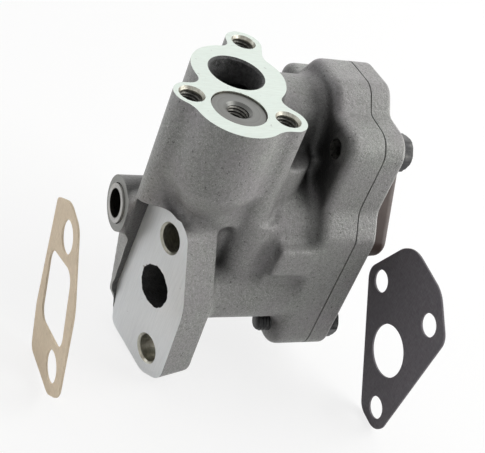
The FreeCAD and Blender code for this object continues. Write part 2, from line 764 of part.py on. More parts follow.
def outer_hollow():
    """Five round lobes that reach in from a root circle."""
    pitch = size("lobe_roller_pitch")
    roller = size("lobe_roller_r")
    root = pitch - roller + 2 * size("eccentricity") + 0.3
    half = math.acos((root * root + pitch * pitch - roller * roller) / (2 * root * pitch))
    edges = []
    for i in range(5):
        centre = math.pi + 2 * math.pi * i / 5
        following = centre + 2 * math.pi / 5
        start = Vector(root * math.cos(centre - half), root * math.sin(centre - half), 0)
        tip = Vector((pitch - roller) * math.cos(centre), (pitch - roller) * math.sin(centre), 0)
        end = Vector(root * math.cos(centre + half), root * math.sin(centre + half), 0)
        gap = Vector(root * math.cos(centre + math.pi / 5), root * math.sin(centre + math.pi / 5), 0)
        following_start = Vector(root * math.cos(following - half), root * math.sin(following - half), 0)
        edges.append(Part.Arc(start, tip, end))
        edges.append(Part.Arc(end, gap, following_start))
    return edges


def make_outer_rotor():
    at = "joint_x - rotor_depth"
    disc = cylinder("outer_disc", "rotor_d / 2", "rotor_depth - end_float", (at, "-eccentricity", "0"), "x")
    hollow = prism(
        "outer_hollow", outer_hollow(), "rotor_depth + 2", (at + " - 1", "-eccentricity", "0"),
        ACROSS
    )
    return cut("outer_rotor", disc, [hollow])


def make_cover():
    """Cast cover: shared outline, bolt holes, dowel holes, shaft recess and the inlet chamber's two windows."""
    body = doc.addObject("PartDesign::Body", "cover_plate")
    put(body, ("joint_x", "0", "0"), Rotation())
    slab = pad_feature(
        body, "cover_slab", body_sketch(body, "cover_outline", "YZ_Plane", rim_outline()),
        "cover_thick"
    )
    doc.recompute()
    rims = []
    for number, edge in enumerate(slab.Shape.Edges, start=1):
        if edge.BoundBox.XLength < 1e-3 and abs(edge.BoundBox.XMin - size("cover_thick")) < 1e-3:
            rims.append("Edge%d" % number)
    soft = body.newObject("PartDesign::Fillet", "cover_soft_edge")
    soft.Base = (slab, rims)
    bind(soft, "Radius", "cover_round")
    holes = []
    for name, y, z in bolt_places():
        holes.append(circle(size(name + "_y"), size(z), size("bolt_hole_d") / 2))
    holes.append(circle(size("cross_y") - 2.0, size("cross_z") - 6.5, size("cross_bore_d") / 2 - 3.0))
    sketch = body_sketch(body, "cover_holes", "YZ_Plane", holes)
    pocket_feature(body, "cover_bolt_holes", sketch, "cover_thick + 1", True)
    dowels = [circle(*dowel_spot(name), size("dowel_d") / 2) for name in DOWEL_ANGLES]
    sketch = body_sketch(body, "cover_dowel_circles", "YZ_Plane", dowels)
    pocket_feature(body, "cover_dowel_holes", sketch, "dowel_length / 2 + 0.3", True)
    sketch = body_sketch(
        body, "cover_shaft_circle", "YZ_Plane",
        [circle(0, 0, size("shaft_d") / 2 + size("running_fit"))]
    )
    pocket_feature(body, "cover_shaft_recess", sketch, "cover_thick - 3", True)
    sketch = body_sketch(body, "cover_window", "YZ_Plane", crescent(True))
    pocket_feature(body, "cover_inlet_window", sketch, "cover_thick + 1", True)
    return body


def cap_outline(shrink):
    """Rounded outline of the cap about its middle: narrow on top, a full corner at the front."""
    y = size("cap_y")
    z = size("cap_z")
    r = size("cap_r") - shrink
    return rounded([
        (y - 0.42 * r, z + 1.02 * r, 9.0 - shrink),
        (y - 1.15 * r, z - 0.46 * r, 7.0 - shrink),
        (y - 0.64 * r, z - 0.98 * r, 10.0 - shrink),
        (y + 0.55 * r, z - 0.98 * r, 13.0 - shrink),
        (y + 1.0 * r, z - 0.3 * r, 13.0 - shrink),
        (y + 0.5 * r, z + 1.02 * r, 11.0 - shrink),
    ])


def make_cap():
    """Smooth dished cap over the inlet chamber."""
    body = doc.addObject("PartDesign::Body", "cover_cap")
    put(body, ("joint_x + cover_thick", "0", "0"), Rotation())
    outside = body_sketch(body, "cap_outside", "YZ_Plane", cap_outline(0.0))
    pad = pad_feature(body, "cap_shell", outside, "cap_height")
    doc.recompute()
    edges = []
    for number, edge in enumerate(pad.Shape.Edges, start=1):
        flat = edge.BoundBox.XLength < 1e-3
        if flat and abs(edge.BoundBox.XMin - size("cap_height")) < 1e-3:
            edges.append("Edge%d" % number)
    fillet = body.newObject("PartDesign::Fillet", "cap_edge")
    fillet.Base = (pad, edges)
    bind(fillet, "Radius", "cap_wall * 1.8")
    inside = body_sketch(body, "cap_inside", "YZ_Plane", cap_outline(size("cap_wall")))
    pocket_feature(body, "cap_hollow", inside, "cap_height - cap_wall", True)
    return body


def bolt(name, length, y, z):
    """Hexagon bolt: head on the cover, shank back into the housing with a pointed end."""
    head = doc.addObject("Part::Prism", name + "_head")
    head.Polygon = 6
    bind(head, "Circumradius", "bolt_af / 2 / cos(30 * 1 deg)")
    bind(head, "Height", "bolt_head")
    put(head, ("joint_x + cover_thick", y, z), TURNS["x"])
    crown = cone(
        name + "_crown", "bolt_af / 2 * 1.45", "bolt_af / 2 * 0.92", "bolt_head * 1.001",
        ("joint_x + cover_thick", y, z), "x"
    )
    trimmed = doc.addObject("Part::Common", name + "_hexagon")
    trimmed.Base = head
    trimmed.Tool = crown
    shank = cylinder(
        name + "_shank", "bolt_d / 2", length + " - 1",
        ("joint_x + cover_thick - (%s) + 1" % length, y, z), "x"
    )
    point = cone(
        name + "_point", "bolt_d / 2 - 1", "bolt_d / 2", "1",
        ("joint_x + cover_thick - (%s)" % length, y, z), "x"
    )
    return fuse(name, [trimmed, shank, point])


def make_bolts(name, length, level):
    """Two equal bolts side by side, as one group."""
    group = doc.addObject("Part::Compound", name)
    group.Links = [
        bolt(name + "_" + place, length, y, z) for place, y,
        z in bolt_places() if place.endswith(level)
    ]
    return group


def make_dowels():
    group = doc.addObject("Part::Compound", "cover_dowels")
    group.Links = [
        cylinder(name, "dowel_d / 2", "dowel_length", ("joint_x - dowel_length / 2", y, z), "x") for name,
        y, z in dowel_places()
    ]
    return group


def make_piston():
    """Relief piston: a cup that slides in the barrel, crown down on its seat."""
    body = doc.addObject("PartDesign::Body", "relief_plunger")
    put(body, ("plug_x", "plug_y", "valve_seat_z"), Rotation())
    radius = size("valve_bore_d") / 2 - size("running_fit")
    solid = body_sketch(body, "piston_circle", "XY_Plane", [circle(0, 0, radius)])
    radius_rule(solid, 0, "piston_radius", "valve_bore_d / 2 - running_fit")
    pad_feature(body, "piston_blank", solid, "piston_length")
    cup = body_sketch(
        body, "piston_cup_circle", "XY_Plane", [circle(0, 0, radius - size("piston_wall"))],
        "piston_length"
    )
    radius_rule(cup, 0, "cup_radius", "valve_bore_d / 2 - running_fit - piston_wall")
    pocket_feature(body, "piston_cup", cup, "piston_length - piston_floor")
    return body


def make_spring():
    """Relief spring between the piston's crown and the plug."""
    low = "valve_seat_z + piston_floor + spring_wire_d / 2"
    helix = doc.addObject("Part::Helix", "spring_path")
    bind(helix, "Radius", "(spring_d - spring_wire_d) / 2")
    bind(helix, "Height", "pad_z - plug_length - valve_seat_z - piston_floor - spring_wire_d * 1.02")
    bind(
        helix, "Pitch",
        "(pad_z - plug_length - valve_seat_z - piston_floor - spring_wire_d * 1.02) / spring_turns"
    )
    wire = doc.addObject("Part::Circle", "spring_wire")
    bind(wire, "Radius", "spring_wire_d / 2")
    put(wire, ("(spring_d - spring_wire_d) / 2", "0", "0"), Rotation(Vector(1, 0, 0), 90))
    sweep = doc.addObject("Part::Sweep", "relief_spring")
    sweep.Sections = [wire]
    sweep.Spine = (helix, ["Edge1"])
    sweep.Solid = True
    sweep.Frenet = True
    put(sweep, ("plug_x", "plug_y", low), Rotation())
    return sweep


def make_plug():
    """Round plug over the relief valve, with a tapped vent hole."""
    body = doc.addObject("PartDesign::Body", "relief_plug")
    put(body, ("plug_x", "plug_y", "pad_z - plug_length"), Rotation())
    disc = body_sketch(body, "plug_circle", "XY_Plane", [circle(0, 0, size("plug_d") / 2)])
    radius_rule(disc, 0, "plug_radius", "plug_d / 2")
    pad_feature(body, "plug_disc", disc, "plug_length")
    hole = body_sketch(
        body, "vent_circle", "XY_Plane", [circle(0, 0, size("plug_thread_d") / 2)], "plug_length"
    )
    radius_rule(hole, 0, "vent_radius", "plug_thread_d / 2")
    vent = pocket_feature(body, "vent_hole", hole, "plug_length + 1")
    doc.recompute()
    rims = []
    for number, edge in enumerate(vent.Shape.Edges, start=1):
        at_top = (
            abs(edge.BoundBox.ZMin - size("plug_length")) < 1e-3
            and abs(edge.BoundBox.ZMax - size("plug_length")) < 1e-3
        )
        if at_top:
            rims.append((edge.BoundBox.XLength, "Edge%d" % number))
    rims.sort()
    inner = body.newObject("PartDesign::Chamfer", "vent_lead")
    inner.Base = (vent, [rims[0][1]])
    bind(inner, "Size", "(pad_chamfer_d - plug_thread_d) / 2 + 0.3")
    doc.recompute()
    return body


def make_ball():
    """Ball pressed into the mouth of the upright drilling, just outside the outlet passage."""
    ball = doc.addObject("Part::Sphere", "gallery_ball")
    bind(ball, "Radius", "gallery_d / 2")
    reach = "(outlet_d / 2 + gallery_d / 2 + ball_gap)"
    drop = "sqrt(%s ^ 2 - (plug_y - outlet_y) ^ 2)" % reach
    put(ball, ("gallery_x", "plug_y", "outlet_z - " + drop), Rotation())
    return ball


def make_flange_gasket():
    """Paper gasket of the block flange: its outline, two bolt holes and a rounded opening."""
    body = doc.addObject("PartDesign::Body", "flange_gasket")
    half = size("flange_pitch") / 2
    turn = Rotation(Vector(1, 0, 0), -size("block_gasket_lean"))
    edges = [mirrored(edge) for edge in flange_outline()]
    put(
        body,
        (
            "block_gasket_x", "block_gasket_y",
            "stand_z + %.3f" % stand_height(edges, -size("block_gasket_lean"))
        ),
        turn
    )
    edges.append(circle(0, half, size("gasket_hole_d") / 2))
    edges.append(circle(0, -half, size("gasket_hole_d") / 2))
    opening = [(-18.0, -12.5, 5.5), (-15.5, 16.0, 5.5), (9.0, 14.5, 5.5), (8.2, -16.0, 5.5)]
    edges += [mirrored(edge) for edge in rounded(opening)]
    pad_feature(
        body, "flange_gasket_sheet", body_sketch(body, "flange_gasket_outline", "YZ_Plane", edges),
        "gasket_thick"
    )
    return body


def stand_height(edges, lean):
    """How far an outline's own origin lies above its lowest point once it leans."""
    outline = Part.Compound([edge.toShape() for edge in edges])
    outline.rotate(Vector(0, 0, 0), Vector(0, 0, 1), lean)
    return -outline.optimalBoundingBox().YMin


def mirrored(edge):
    """The same edge with its first coordinate turned about."""
    copy = edge.copy()
    copy.mirror(Vector(0, 0, 0), Vector(0, 1, 0))
    return copy


def pad_pattern(x, y):
    """A point of the pad as the pickup gasket shows it: seen from below, about the relief plug."""
    lean = math.radians(size("pad_gasket_lean"))
    across = x * math.cos(lean) - y * math.sin(lean)
    down = x * math.sin(lean) + y * math.cos(lean)
    return -across, -down


def make_pad_gasket():
    """Dark gasket of the pickup pad, with a hole for the inlet and three for the bolts."""
    body = doc.addObject("PartDesign::Body", "pickup_gasket")
    zx, zy = size("plug_x"), size("plug_y")
    corners = []
    left = (size("left_x") - zx, size("left_y") - zy)
    right = (size("right_x") - zx, size("right_y") - zy)
    far = (size("far_x") - zx, size("far_y") - zy)
    inlet = (size("inlet_x") - zx, size("inlet_y") - zy)
    shape = [
        (left[0] - 9.6, left[1] + 2.5, 6.5),
        (-12.0, -18.5, 13.0),
        (13.0, -18.5, 13.0),
        (right[0] + 10.6, right[1] - 3.0, 6.5),
        (far[0] + 8.4, far[1] + 7.6, 7.4),
        (far[0] - 6.4, far[1] + 8.4, 6.5),
    ]
    for a, b, radius in shape:
        y, z = pad_pattern(a, b)
        corners.append((y, z, radius))
    edges = rounded(corners)
    drop = stand_height(edges, 0)
    for spot, radius in ((left, 4.6), (right, 4.6), (far, 4.6), (inlet, size("inlet_d") / 2 + 0.6)):
        y, z = pad_pattern(spot[0], spot[1])
        edges.append(circle(y, z, radius))
    put(body, ("pad_gasket_x", "pad_gasket_y", "stand_z + %.3f" % drop), Rotation())
    pad_feature(
        body, "pickup_gasket_sheet", body_sketch(body, "pickup_gasket_outline", "YZ_Plane", edges),
        "gasket_thick"
    )
    return body


def main():
    pieces = [
        make_body(),
        make_bush(),
        make_shaft(),
        make_pin(),
        make_inner_rotor(),
        make_outer_rotor(),
        make_cover(),
        make_cap(),
        make_bolts("upper_bolts", "short_bolt", "top"),
        make_bolts("lower_bolts", "long_bolt", "low"),
        make_dowels(),
        make_piston(),
        make_spring(),
        make_plug(),
        make_ball(),
        make_flange_gasket(),
        make_pad_gasket(),
    ]
    doc.recompute()
    for obj in doc.Objects:
        if "Invalid" in obj.State or "Error" in obj.State:
            raise RuntimeError("%s could not be built: %s" % (obj.Name, obj.State))
    os.makedirs("parts", exist_ok=True)
    for piece in pieces:
        shape = piece.Shape
        if shape.isNull() or not shape.isValid():
            raise RuntimeError(piece.Name + " has no valid shape")
        piece.Label = piece.Name
    for piece in pieces:
        piece.Shape.exportStep("parts/%s.step" % piece.Label)
        box_of = piece.Shape.BoundBox
        print(
            piece.Label, len(piece.Shape.Solids), round(piece.Shape.Volume, 1),
            [round(v, 1) for v in (
                box_of.XMin, box_of.XMax, box_of.YMin, box_of.YMax, box_of.ZMin, box_of.ZMax
            )]
        )


main()
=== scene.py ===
import math

import bmesh
import bpy
from mathutils import Matrix, Vector


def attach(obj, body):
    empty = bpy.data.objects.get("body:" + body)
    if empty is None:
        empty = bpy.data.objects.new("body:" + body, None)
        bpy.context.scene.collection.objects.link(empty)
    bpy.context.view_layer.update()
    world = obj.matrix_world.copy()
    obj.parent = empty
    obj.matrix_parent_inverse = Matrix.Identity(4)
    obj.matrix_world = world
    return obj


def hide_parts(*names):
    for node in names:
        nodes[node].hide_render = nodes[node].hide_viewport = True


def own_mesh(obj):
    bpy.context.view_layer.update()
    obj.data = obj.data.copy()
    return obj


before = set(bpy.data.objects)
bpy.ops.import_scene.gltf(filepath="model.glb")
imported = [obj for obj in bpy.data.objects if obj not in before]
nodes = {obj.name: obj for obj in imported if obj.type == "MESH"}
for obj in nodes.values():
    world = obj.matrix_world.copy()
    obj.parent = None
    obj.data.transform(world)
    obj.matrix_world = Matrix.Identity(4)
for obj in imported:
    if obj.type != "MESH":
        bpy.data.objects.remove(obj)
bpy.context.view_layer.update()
MM = 0.001
X = Vector((1, 0, 0))
Y = Vector((0, 1, 0))
Z = Vector((0, 0, 1))

# Places and sizes of the pump in millimetres, as in the solid model.
JOINT_X = 82.0
PAD_Z = 60.0
PLUG_FLOOR_Z = 53.0
PAD_END_X = 65.5
BOSS_X = 0.8
SHAFT_BORE_R = 7.75
BUSH_X = 35.94
BUSH_R = 9.0
POCKET_X = 59.94
POCKET_R = 28.04
ROTOR_Y = -3.2
COVER_THICK = 9.0
YAW = math.radians(14.3)
LEAN = math.radians(10.3)
FLANGE_MID = Vector((13.863, -29.284, -19.5))
FLANGE_OUT = Vector((-math.cos(YAW), -math.sin(YAW), 0.0))
FLANGE_SIDE = Vector((math.sin(YAW), -math.cos(YAW), 0.0))
FLANGE_HALF = 24.6
PLUG = (23.1, -20.6)
PLUG_BORE_R = 10.2
VALVE_R = 8.0
INLET = (30.5, 1.9)
CROSSOVER = (30.5, 4.5, 41.5)
OUTLET_END = (57.9, -26, -18)
TAPPED = ((7.7, -13.8), (40.3, -25.2), (41.7, 23.8))
UPPER = ((-22.6, 47.0), (23.0, 41.0))
LOWER = ((-29.0, -35.0), (22.0, -35.0))
DOWELS = ((-24.2, 29.0), (24.5, -16.0))
SEAM_DEPTH = 0.75
SEAM_WIDTH = 0.6
SPRING_LOW = 28.0
SPRING_HIGH = 53.0
SPRING_R = 4.9
SPRING_WIRE_R = 0.9
SPRING_TURNS = 6.0
FLOOR_Z = -54.8
TAP_R = 4.05
FLANGE_HOLE_R = 5.35
GALLERY_X = 48.0
GALLERY_Z = 19.5
GALLERY_R = 3.0
PAD_PITCH = 1.25
BOLT_CREST_R = 3.92
BOLT_ROOT_R = 3.35
BOLT_PITCH = 1.411
BOLT_TURN = 0.35
BOLT_AF = 12.7

# Softening of the casting, in metres.
VOXEL = 0.7 * MM
FINE_VOXEL = 0.6 * MM
FILLET = 2.1 * MM


# Materials.
class Graph:
    """Small helper that builds one material's nodes."""

    def __init__(self, name):
        self.material = bpy.data.materials.new(name)
        self.material.use_nodes = True
        self.tree = self.material.node_tree
        self.tree.nodes.clear()
        self.out = self.tree.nodes.new("ShaderNodeOutputMaterial")
        self.shader = self.tree.nodes.new("ShaderNodeBsdfPrincipled")
        self.tree.links.new(self.shader.outputs[0], self.out.inputs[0])
        self.coords = self.tree.nodes.new("ShaderNodeTexCoord").outputs["Object"]

    def link(self, a, b):
        self.tree.links.new(a, b)

    def fill(self, socket, value):
        """Give a socket a number, a colour or another node's output."""
        if isinstance(value, (int, float)):
            socket.default_value = value
        elif isinstance(value, tuple):
            socket.default_value = (*value, 1.0)
        else:
            self.link(value, socket)

    def noise(self, scale, detail=3.0, rough=0.55, at=None, distortion=0.0):
        n = self.tree.nodes.new("ShaderNodeTexNoise")
        n.inputs["Scale"].default_value = scale
        n.inputs["Detail"].default_value = detail
        n.inputs["Roughness"].default_value = rough
        n.inputs["Distortion"].default_value = distortion
        self.link(at or self.coords, n.inputs["Vector"])
        return n.outputs["Fac"]

    def stretched(self, scale, turn=(0, 0, 0)):
        """Coordinates scaled along each axis, for marks that run one way."""
        n = self.tree.nodes.new("ShaderNodeMapping")
        n.inputs["Scale"].default_value = scale
        n.inputs["Rotation"].default_value = turn
        self.link(self.coords, n.inputs["Vector"])
        return n.outputs[0]

    def ramp(self, fac, *stops):
        """Colour or grey by a factor, from (place, value) pairs."""
        n = self.tree.nodes.new("ShaderNodeValToRGB")
        while len(n.color_ramp.elements) < len(stops):
            n.color_ramp.elements.new(0.5)
        for element, (place, value) in zip(n.color_ramp.elements, stops):
            element.position = place
            if isinstance(value, (int, float)):
                value = (value, value, value)
            element.color = (*value, 1.0)
        self.link(fac, n.inputs[0])
        return n.outputs[0]

    def mix(self, fac, a, b, mode="MIX"):
        n = self.tree.nodes.new("ShaderNodeMix")
        n.data_type = "RGBA"
        n.blend_type = mode
        self.fill(n.inputs[0], fac)
        self.fill(n.inputs[6], a)
        self.fill(n.inputs[7], b)
        return n.outputs[2]

    def sum(self, mode, a, b):
        """One step of arithmetic."""
        n = self.tree.nodes.new("ShaderNodeMath")
        n.operation = mode
        self.fill(n.inputs[0], a)
        self.fill(n.inputs[1], b)
        return n.outputs[0]

    def painted_shade(self, distance, low, high, darkest):
        """Painted shade: a factor that falls from one to a dark value in corners and recesses, by ambient
        occlusion.
        """
        n = self.tree.nodes.new("ShaderNodeAmbientOcclusion")
        n.samples = 8
        n.only_local = True
        n.inputs["Distance"].default_value = distance
        return self.ramp(n.outputs["AO"], (low, darkest), (high, 1.0))

    def bump(self, *layers):
        """Relief from (height, strength, distance) layers, each upon the one before."""
        normal = None
        for height, strength, distance in layers:
            n = self.tree.nodes.new("ShaderNodeBump")
            n.inputs["Strength"].default_value = strength
            n.inputs["Distance"].default_value = distance
            self.link(height, n.inputs["Height"])
            if normal is not None:
                self.link(normal, n.inputs["Normal"])
            normal = n.outputs[0]
        self.link(normal, self.shader.inputs["Normal"])

    def set(self, name, value):
        self.fill(self.shader.inputs[name], value)


def cast_iron(name="cast_iron", light=1.0):
    """Shot-blasted grey iron: fine grain, dark pits, a few bright sparks, slow cloudy tint, and painted
    shade in corners and recesses.
    """
    g = Graph(name)
    grain = g.noise(2300, 4.0, 0.7)
    dark = (0.120 * light, 0.121 * light, 0.116 * light)
    plain = (0.215 * light, 0.219 * light, 0.208 * light)
    bright = (0.350 * light, 0.358 * light, 0.338 * light)
    tone = g.ramp(grain, (0.30, dark), (0.50, plain), (0.72, bright))
    cloud = g.noise(55, 3.0, 0.5)
    tint = (0.212 * light, 0.197 * light, 0.207 * light)
    tinted = g.mix(g.ramp(cloud, (0.35, 0.0), (0.70, 0.7)), tone, tint)
    coarse = g.noise(800, 2.0, 0.6)
    grainy = g.mix(g.ramp(coarse, (0.38, 0.35), (0.52, 0.0)), tinted, dark)
    pits = g.noise(1000, 2.0, 0.6)
    pitted = g.mix(g.ramp(pits, (0.28, 0.8), (0.36, 0.0)), grainy, (0.060, 0.056, 0.056))
    sparks = g.noise(1500, 1.0, 0.4)
    sparkling = g.mix(g.ramp(sparks, (0.69, 0.0), (0.78, 0.6)), pitted, (0.56, 0.57, 0.54))
    # Painted shade: the base colour is darkened in corners and recesses.
    g.set("Base Color", g.mix(1.0, sparkling, g.painted_shade(0.034, 0.38, 0.92, 0.04), "MULTIPLY"))
    g.set("Metallic", 0.08)
    g.set("Specular IOR Level", 0.4)
    g.set("Roughness", g.ramp(grain, (0.3, 0.50), (0.75, 0.38)))
    g.bump((cloud, 0.2, 0.0012), (coarse, 0.35, 0.00035), (pits, 0.45, 0.0004), (grain, 0.45, 0.0002))
    return g.material


def joint_shade_and_dust():
    """Line where cover and casting meet: near black in stretches as painted shade of the gap, closed with
    iron dust in others.
    """
    g = Graph("joint_shade_and_dust")
    stretch = g.noise(42, 1.0, 0.4)
    grain = g.noise(1400, 3.0, 0.6)
    dusty = g.ramp(grain, (0.3, (0.17, 0.172, 0.165)), (0.7, (0.42, 0.425, 0.40)))
    # Painted shade: the near-black stretches stand for the shade in the gap.
    g.set("Base Color", g.mix(g.ramp(stretch, (0.47, 0.0), (0.53, 1.0)), (0.010, 0.010, 0.010), dusty))
    g.set("Metallic", 0.2)
    g.set("Roughness", 0.6)
    g.bump((grain, 0.4, 0.0002))
    return g.material


def rough_core(name, light):
    """Inside of a cored passage: scaly, and dark with painted shade; the light factor sets how deep the
    painted shade is.
    """
    g = Graph(name)
    scale = g.noise(420, 5.0, 0.7, distortion=0.6)
    dark, plain, bright = 0.006 * light, 0.021 * light, 0.052 * light
    # Painted shade: near black colour inside the passage.
    g.set("Base Color", g.ramp(scale, (0.30, dark), (0.62, plain), (0.80, bright)))
    g.set("Roughness", 0.72)
    g.set("Metallic", 0.2)
    g.bump((scale, 0.9, 0.0011))
    return g.material


def machined_pad():
    """Fresh milled face of the pad: pale, with faint parallel cutter marks and small nicks."""
    g = Graph("milled_pad")
    marks = g.noise(1.0, 2.0, 0.5, at=g.stretched((260, 3200, 260), (0, 0, math.radians(28))))
    nicks = g.noise(420, 2.0, 0.5)
    base = g.ramp(marks, (0.30, (0.63, 0.69, 0.64)), (0.70, (0.70, 0.77, 0.72)))
    g.set("Base Color", g.mix(g.ramp(nicks, (0.26, 0.6), (0.31, 0.0)), base, (0.36, 0.38, 0.36)))
    g.set("Metallic", 0.25)
    g.set("Roughness", g.ramp(marks, (0.3, 0.50), (0.7, 0.60)))
    g.bump((marks, 0.18, 0.00008), (nicks, 0.12, 0.0001))
    return g.material


def machined_flange():
    """Ground flange face: bluish, long fine scratches in two directions and rust-tinged nicks."""
    g = Graph("ground_flange")
    long_marks = g.noise(1.0, 3.0, 0.55, at=g.stretched((900, 2600, 120), (math.radians(12), 0, 0)))
    cross_marks = g.noise(1.0, 2.0, 0.5, at=g.stretched((900, 300, 1900), (math.radians(-24), 0, 0)))
    nicks = g.noise(230, 2.0, 0.6)
    base = g.ramp(long_marks, (0.32, (0.64, 0.66, 0.675)), (0.68, (0.715, 0.735, 0.75)))
    crossed = g.mix(g.ramp(cross_marks, (0.60, 0.0), (0.78, 0.25)), base, (0.585, 0.605, 0.62))
    g.set("Base Color", g.mix(g.ramp(nicks, (0.24, 0.8), (0.275, 0.0)), crossed, (0.17, 0.13, 0.11)))
    g.set("Metallic", 0.4)
    g.set("Roughness", g.ramp(long_marks, (0.3, 0.34), (0.7, 0.48)))
    g.bump((long_marks, 0.22, 0.00008), (nicks, 0.15, 0.00015))
    return g.material


def drilled_wall():
    """Drilled hole: bright iron with rings from the tool and an oily brown tint."""
    g = Graph("drilled_wall")
    rings = g.noise(1.0, 2.0, 0.5, at=g.stretched((1500, 500, 500)))
    blotch = g.noise(160, 3.0, 0.6)
    base = g.ramp(rings, (0.3, (0.26, 0.255, 0.215)), (0.7, (0.50, 0.49, 0.43)))
    g.set("Base Color", g.mix(g.ramp(blotch, (0.45, 0.0), (0.7, 0.7)), base, (0.16, 0.14, 0.115)))
    g.set("Metallic", 0.85)
    g.set("Roughness", g.ramp(blotch, (0.3, 0.28), (0.7, 0.45)))
    g.bump((rings, 0.35, 0.0002), (blotch, 0.2, 0.0004))
    return g.material


def thread_steel():
    """Cut thread flanks: grey metal, with painted shade darkening the roots."""
    g = Graph("cut_thread")
    fleck = g.noise(900, 3.0, 0.6)
    flank = g.ramp(fleck, (0.35, (0.07, 0.067, 0.060)), (0.68, (0.24, 0.235, 0.215)))
    # Painted shade: the flanks are darkened towards the thread roots.
    g.set("Base Color", g.mix(1.0, flank, g.painted_shade(0.006, 0.25, 0.75, 0.06), "MULTIPLY"))
    g.set("Metallic", 0.8)
    g.set("Roughness", 0.4)
    g.bump((fleck, 0.3, 0.0002))
    return g.material


def turned(name, axis, light=1.0):
    """Face turned on a lathe: fine rings about an axis, given as its direction and the point it passes."""
    g = Graph(name)
    separate = g.tree.nodes.new("ShaderNodeSeparateXYZ")
    g.link(g.coords, separate.inputs[0])
    kind, a, b = axis
    first = g.sum("SUBTRACT", separate.outputs["X" if kind == "z" else "Y"], a * MM)
    second = g.sum("SUBTRACT", separate.outputs["Y" if kind == "z" else "Z"], b * MM)
    square = g.sum("ADD", g.sum("MULTIPLY", first, first), g.sum("MULTIPLY", second, second))
    radius = g.sum("SQRT", square, 0.0)
    waves = g.sum("SINE", g.sum("MULTIPLY", radius, 9000.0), 0.0)
    combine = g.tree.nodes.new("ShaderNodeCombineXYZ")
    g.link(radius, combine.inputs[0])
    band = g.noise(1400, 2.0, 0.6, at=combine.outputs[0])
    cloud = g.noise(110, 3.0, 0.5)
    dark = (0.33 * light, 0.335 * light, 0.315 * light)
    bright = (0.50 * light, 0.505 * light, 0.48 * light)
    stain = (0.30 * light, 0.28 * light, 0.25 * light)
    base = g.ramp(band, (0.3, dark), (0.7, bright))
    g.set("Base Color", g.mix(g.ramp(cloud, (0.5, 0.0), (0.75, 0.4)), base, stain))
    g.set("Metallic", 0.55)
    g.set("Roughness", g.ramp(band, (0.3, 0.30), (0.7, 0.44)))
    g.bump((waves, 0.12, 0.00004), (band, 0.2, 0.0001))
    return g.material


def shaft_steel():
    """Ground steel with faint stains, and painted shade inside the drive socket."""
    g = Graph("shaft_steel")
    rings = g.noise(1.0, 3.0, 0.6, at=g.stretched((2600, 220, 220)))
    stain = g.noise(130, 3.0, 0.6)
    base = g.ramp(rings, (0.3, (0.30, 0.296, 0.285)), (0.7, (0.46, 0.455, 0.44)))
    stained = g.mix(g.ramp(stain, (0.5, 0.0), (0.8, 0.55)), base, (0.26, 0.22, 0.17))
    separate = g.tree.nodes.new("ShaderNodeSeparateXYZ")
    g.link(g.coords, separate.inputs[0])
    across, up = separate.outputs["Y"], separate.outputs["Z"]
    square = g.sum("ADD", g.sum("MULTIPLY", across, across), g.sum("MULTIPLY", up, up))
    # Painted shade: near black inside the drive socket's radius.
    socket_radius = 5.7 * MM
    outside = g.sum("GREATER_THAN", square, socket_radius ** 2)
    g.set("Base Color", g.mix(outside, (0.060, 0.056, 0.050), stained))
    g.set("Metallic", 0.9)
    g.set("Roughness", g.ramp(rings, (0.3, 0.24), (0.7, 0.38)))
    g.bump((rings, 0.2, 0.0001))
    return g.material


def sintered():
    """Pressed and sintered steel of the rotors: fine grain with faint sizing marks."""
    g = Graph("sintered_rotor")
    grain = g.noise(2200, 3.0, 0.6)
    marks = g.noise(1.0, 2.0, 0.5, at=g.stretched((180, 1800, 180)))
    base = g.ramp(marks, (0.3, (0.21, 0.21, 0.215)), (0.7, (0.30, 0.30, 0.305)))
    g.set("Base Color", g.mix(g.ramp(grain, (0.35, 0.0), (0.6, 0.5)), base, (0.15, 0.15, 0.155)))
    g.set("Metallic", 0.85)
    g.set("Roughness", g.ramp(grain, (0.3, 0.32), (0.7, 0.46)))
    g.bump((grain, 0.25, 0.0001))
    return g.material


def bronze():
    """Bored bronze of the bush: fine rings."""
    g = Graph("bush_bronze")
    rings = g.noise(1.0, 2.0, 0.5, at=g.stretched((2200, 200, 200)))
    g.set("Base Color", g.ramp(rings, (0.3, (0.36, 0.22, 0.09)), (0.7, (0.55, 0.37, 0.16))))
    g.set("Metallic", 0.9)
    g.set("Roughness", g.ramp(rings, (0.3, 0.28), (0.7, 0.42)))
    g.bump((rings, 0.2, 0.0001))
    return g.material


def cap_coat():
    """Smooth pressed cap: brownish black coat, redder and duller in patches."""
    g = Graph("cap_coat")
    cloud = g.noise(45, 4.0, 0.55)
    fine = g.noise(700, 3.0, 0.6)
    dark, plain, bright = (0.020, 0.010, 0.008), (0.040, 0.024, 0.019), (0.080, 0.060, 0.052)
    base = g.ramp(cloud, (0.30, dark), (0.55, plain), (0.80, bright))
    g.set("Base Color", g.mix(g.ramp(fine, (0.45, 0.0), (0.75, 0.35)), base, (0.05, 0.03, 0.025)))
    g.set("Metallic", 0.1)
    g.set("Roughness", g.ramp(fine, (0.3, 0.44), (0.7, 0.58)))
    g.bump((cloud, 0.12, 0.0008), (fine, 0.15, 0.0001))
    return g.material


def black_oxide():
    """Bolt steel with a black oxide coat, greyer where handled."""
    g = Graph("black_oxide")
    fine = g.noise(1300, 3.0, 0.6)
    wear = g.noise(260, 4.0, 0.65)
    base = g.ramp(fine, (0.3, (0.014, 0.014, 0.015)), (0.7, (0.036, 0.036, 0.037)))
    g.set("Base Color", g.mix(g.ramp(wear, (0.55, 0.0), (0.78, 0.6)), base, (0.12, 0.118, 0.11)))
    g.set("Metallic", 0.6)
    g.set("Roughness", g.ramp(wear, (0.3, 0.46), (0.7, 0.34)))
    g.bump((fine, 0.25, 0.00012))
    return g.material


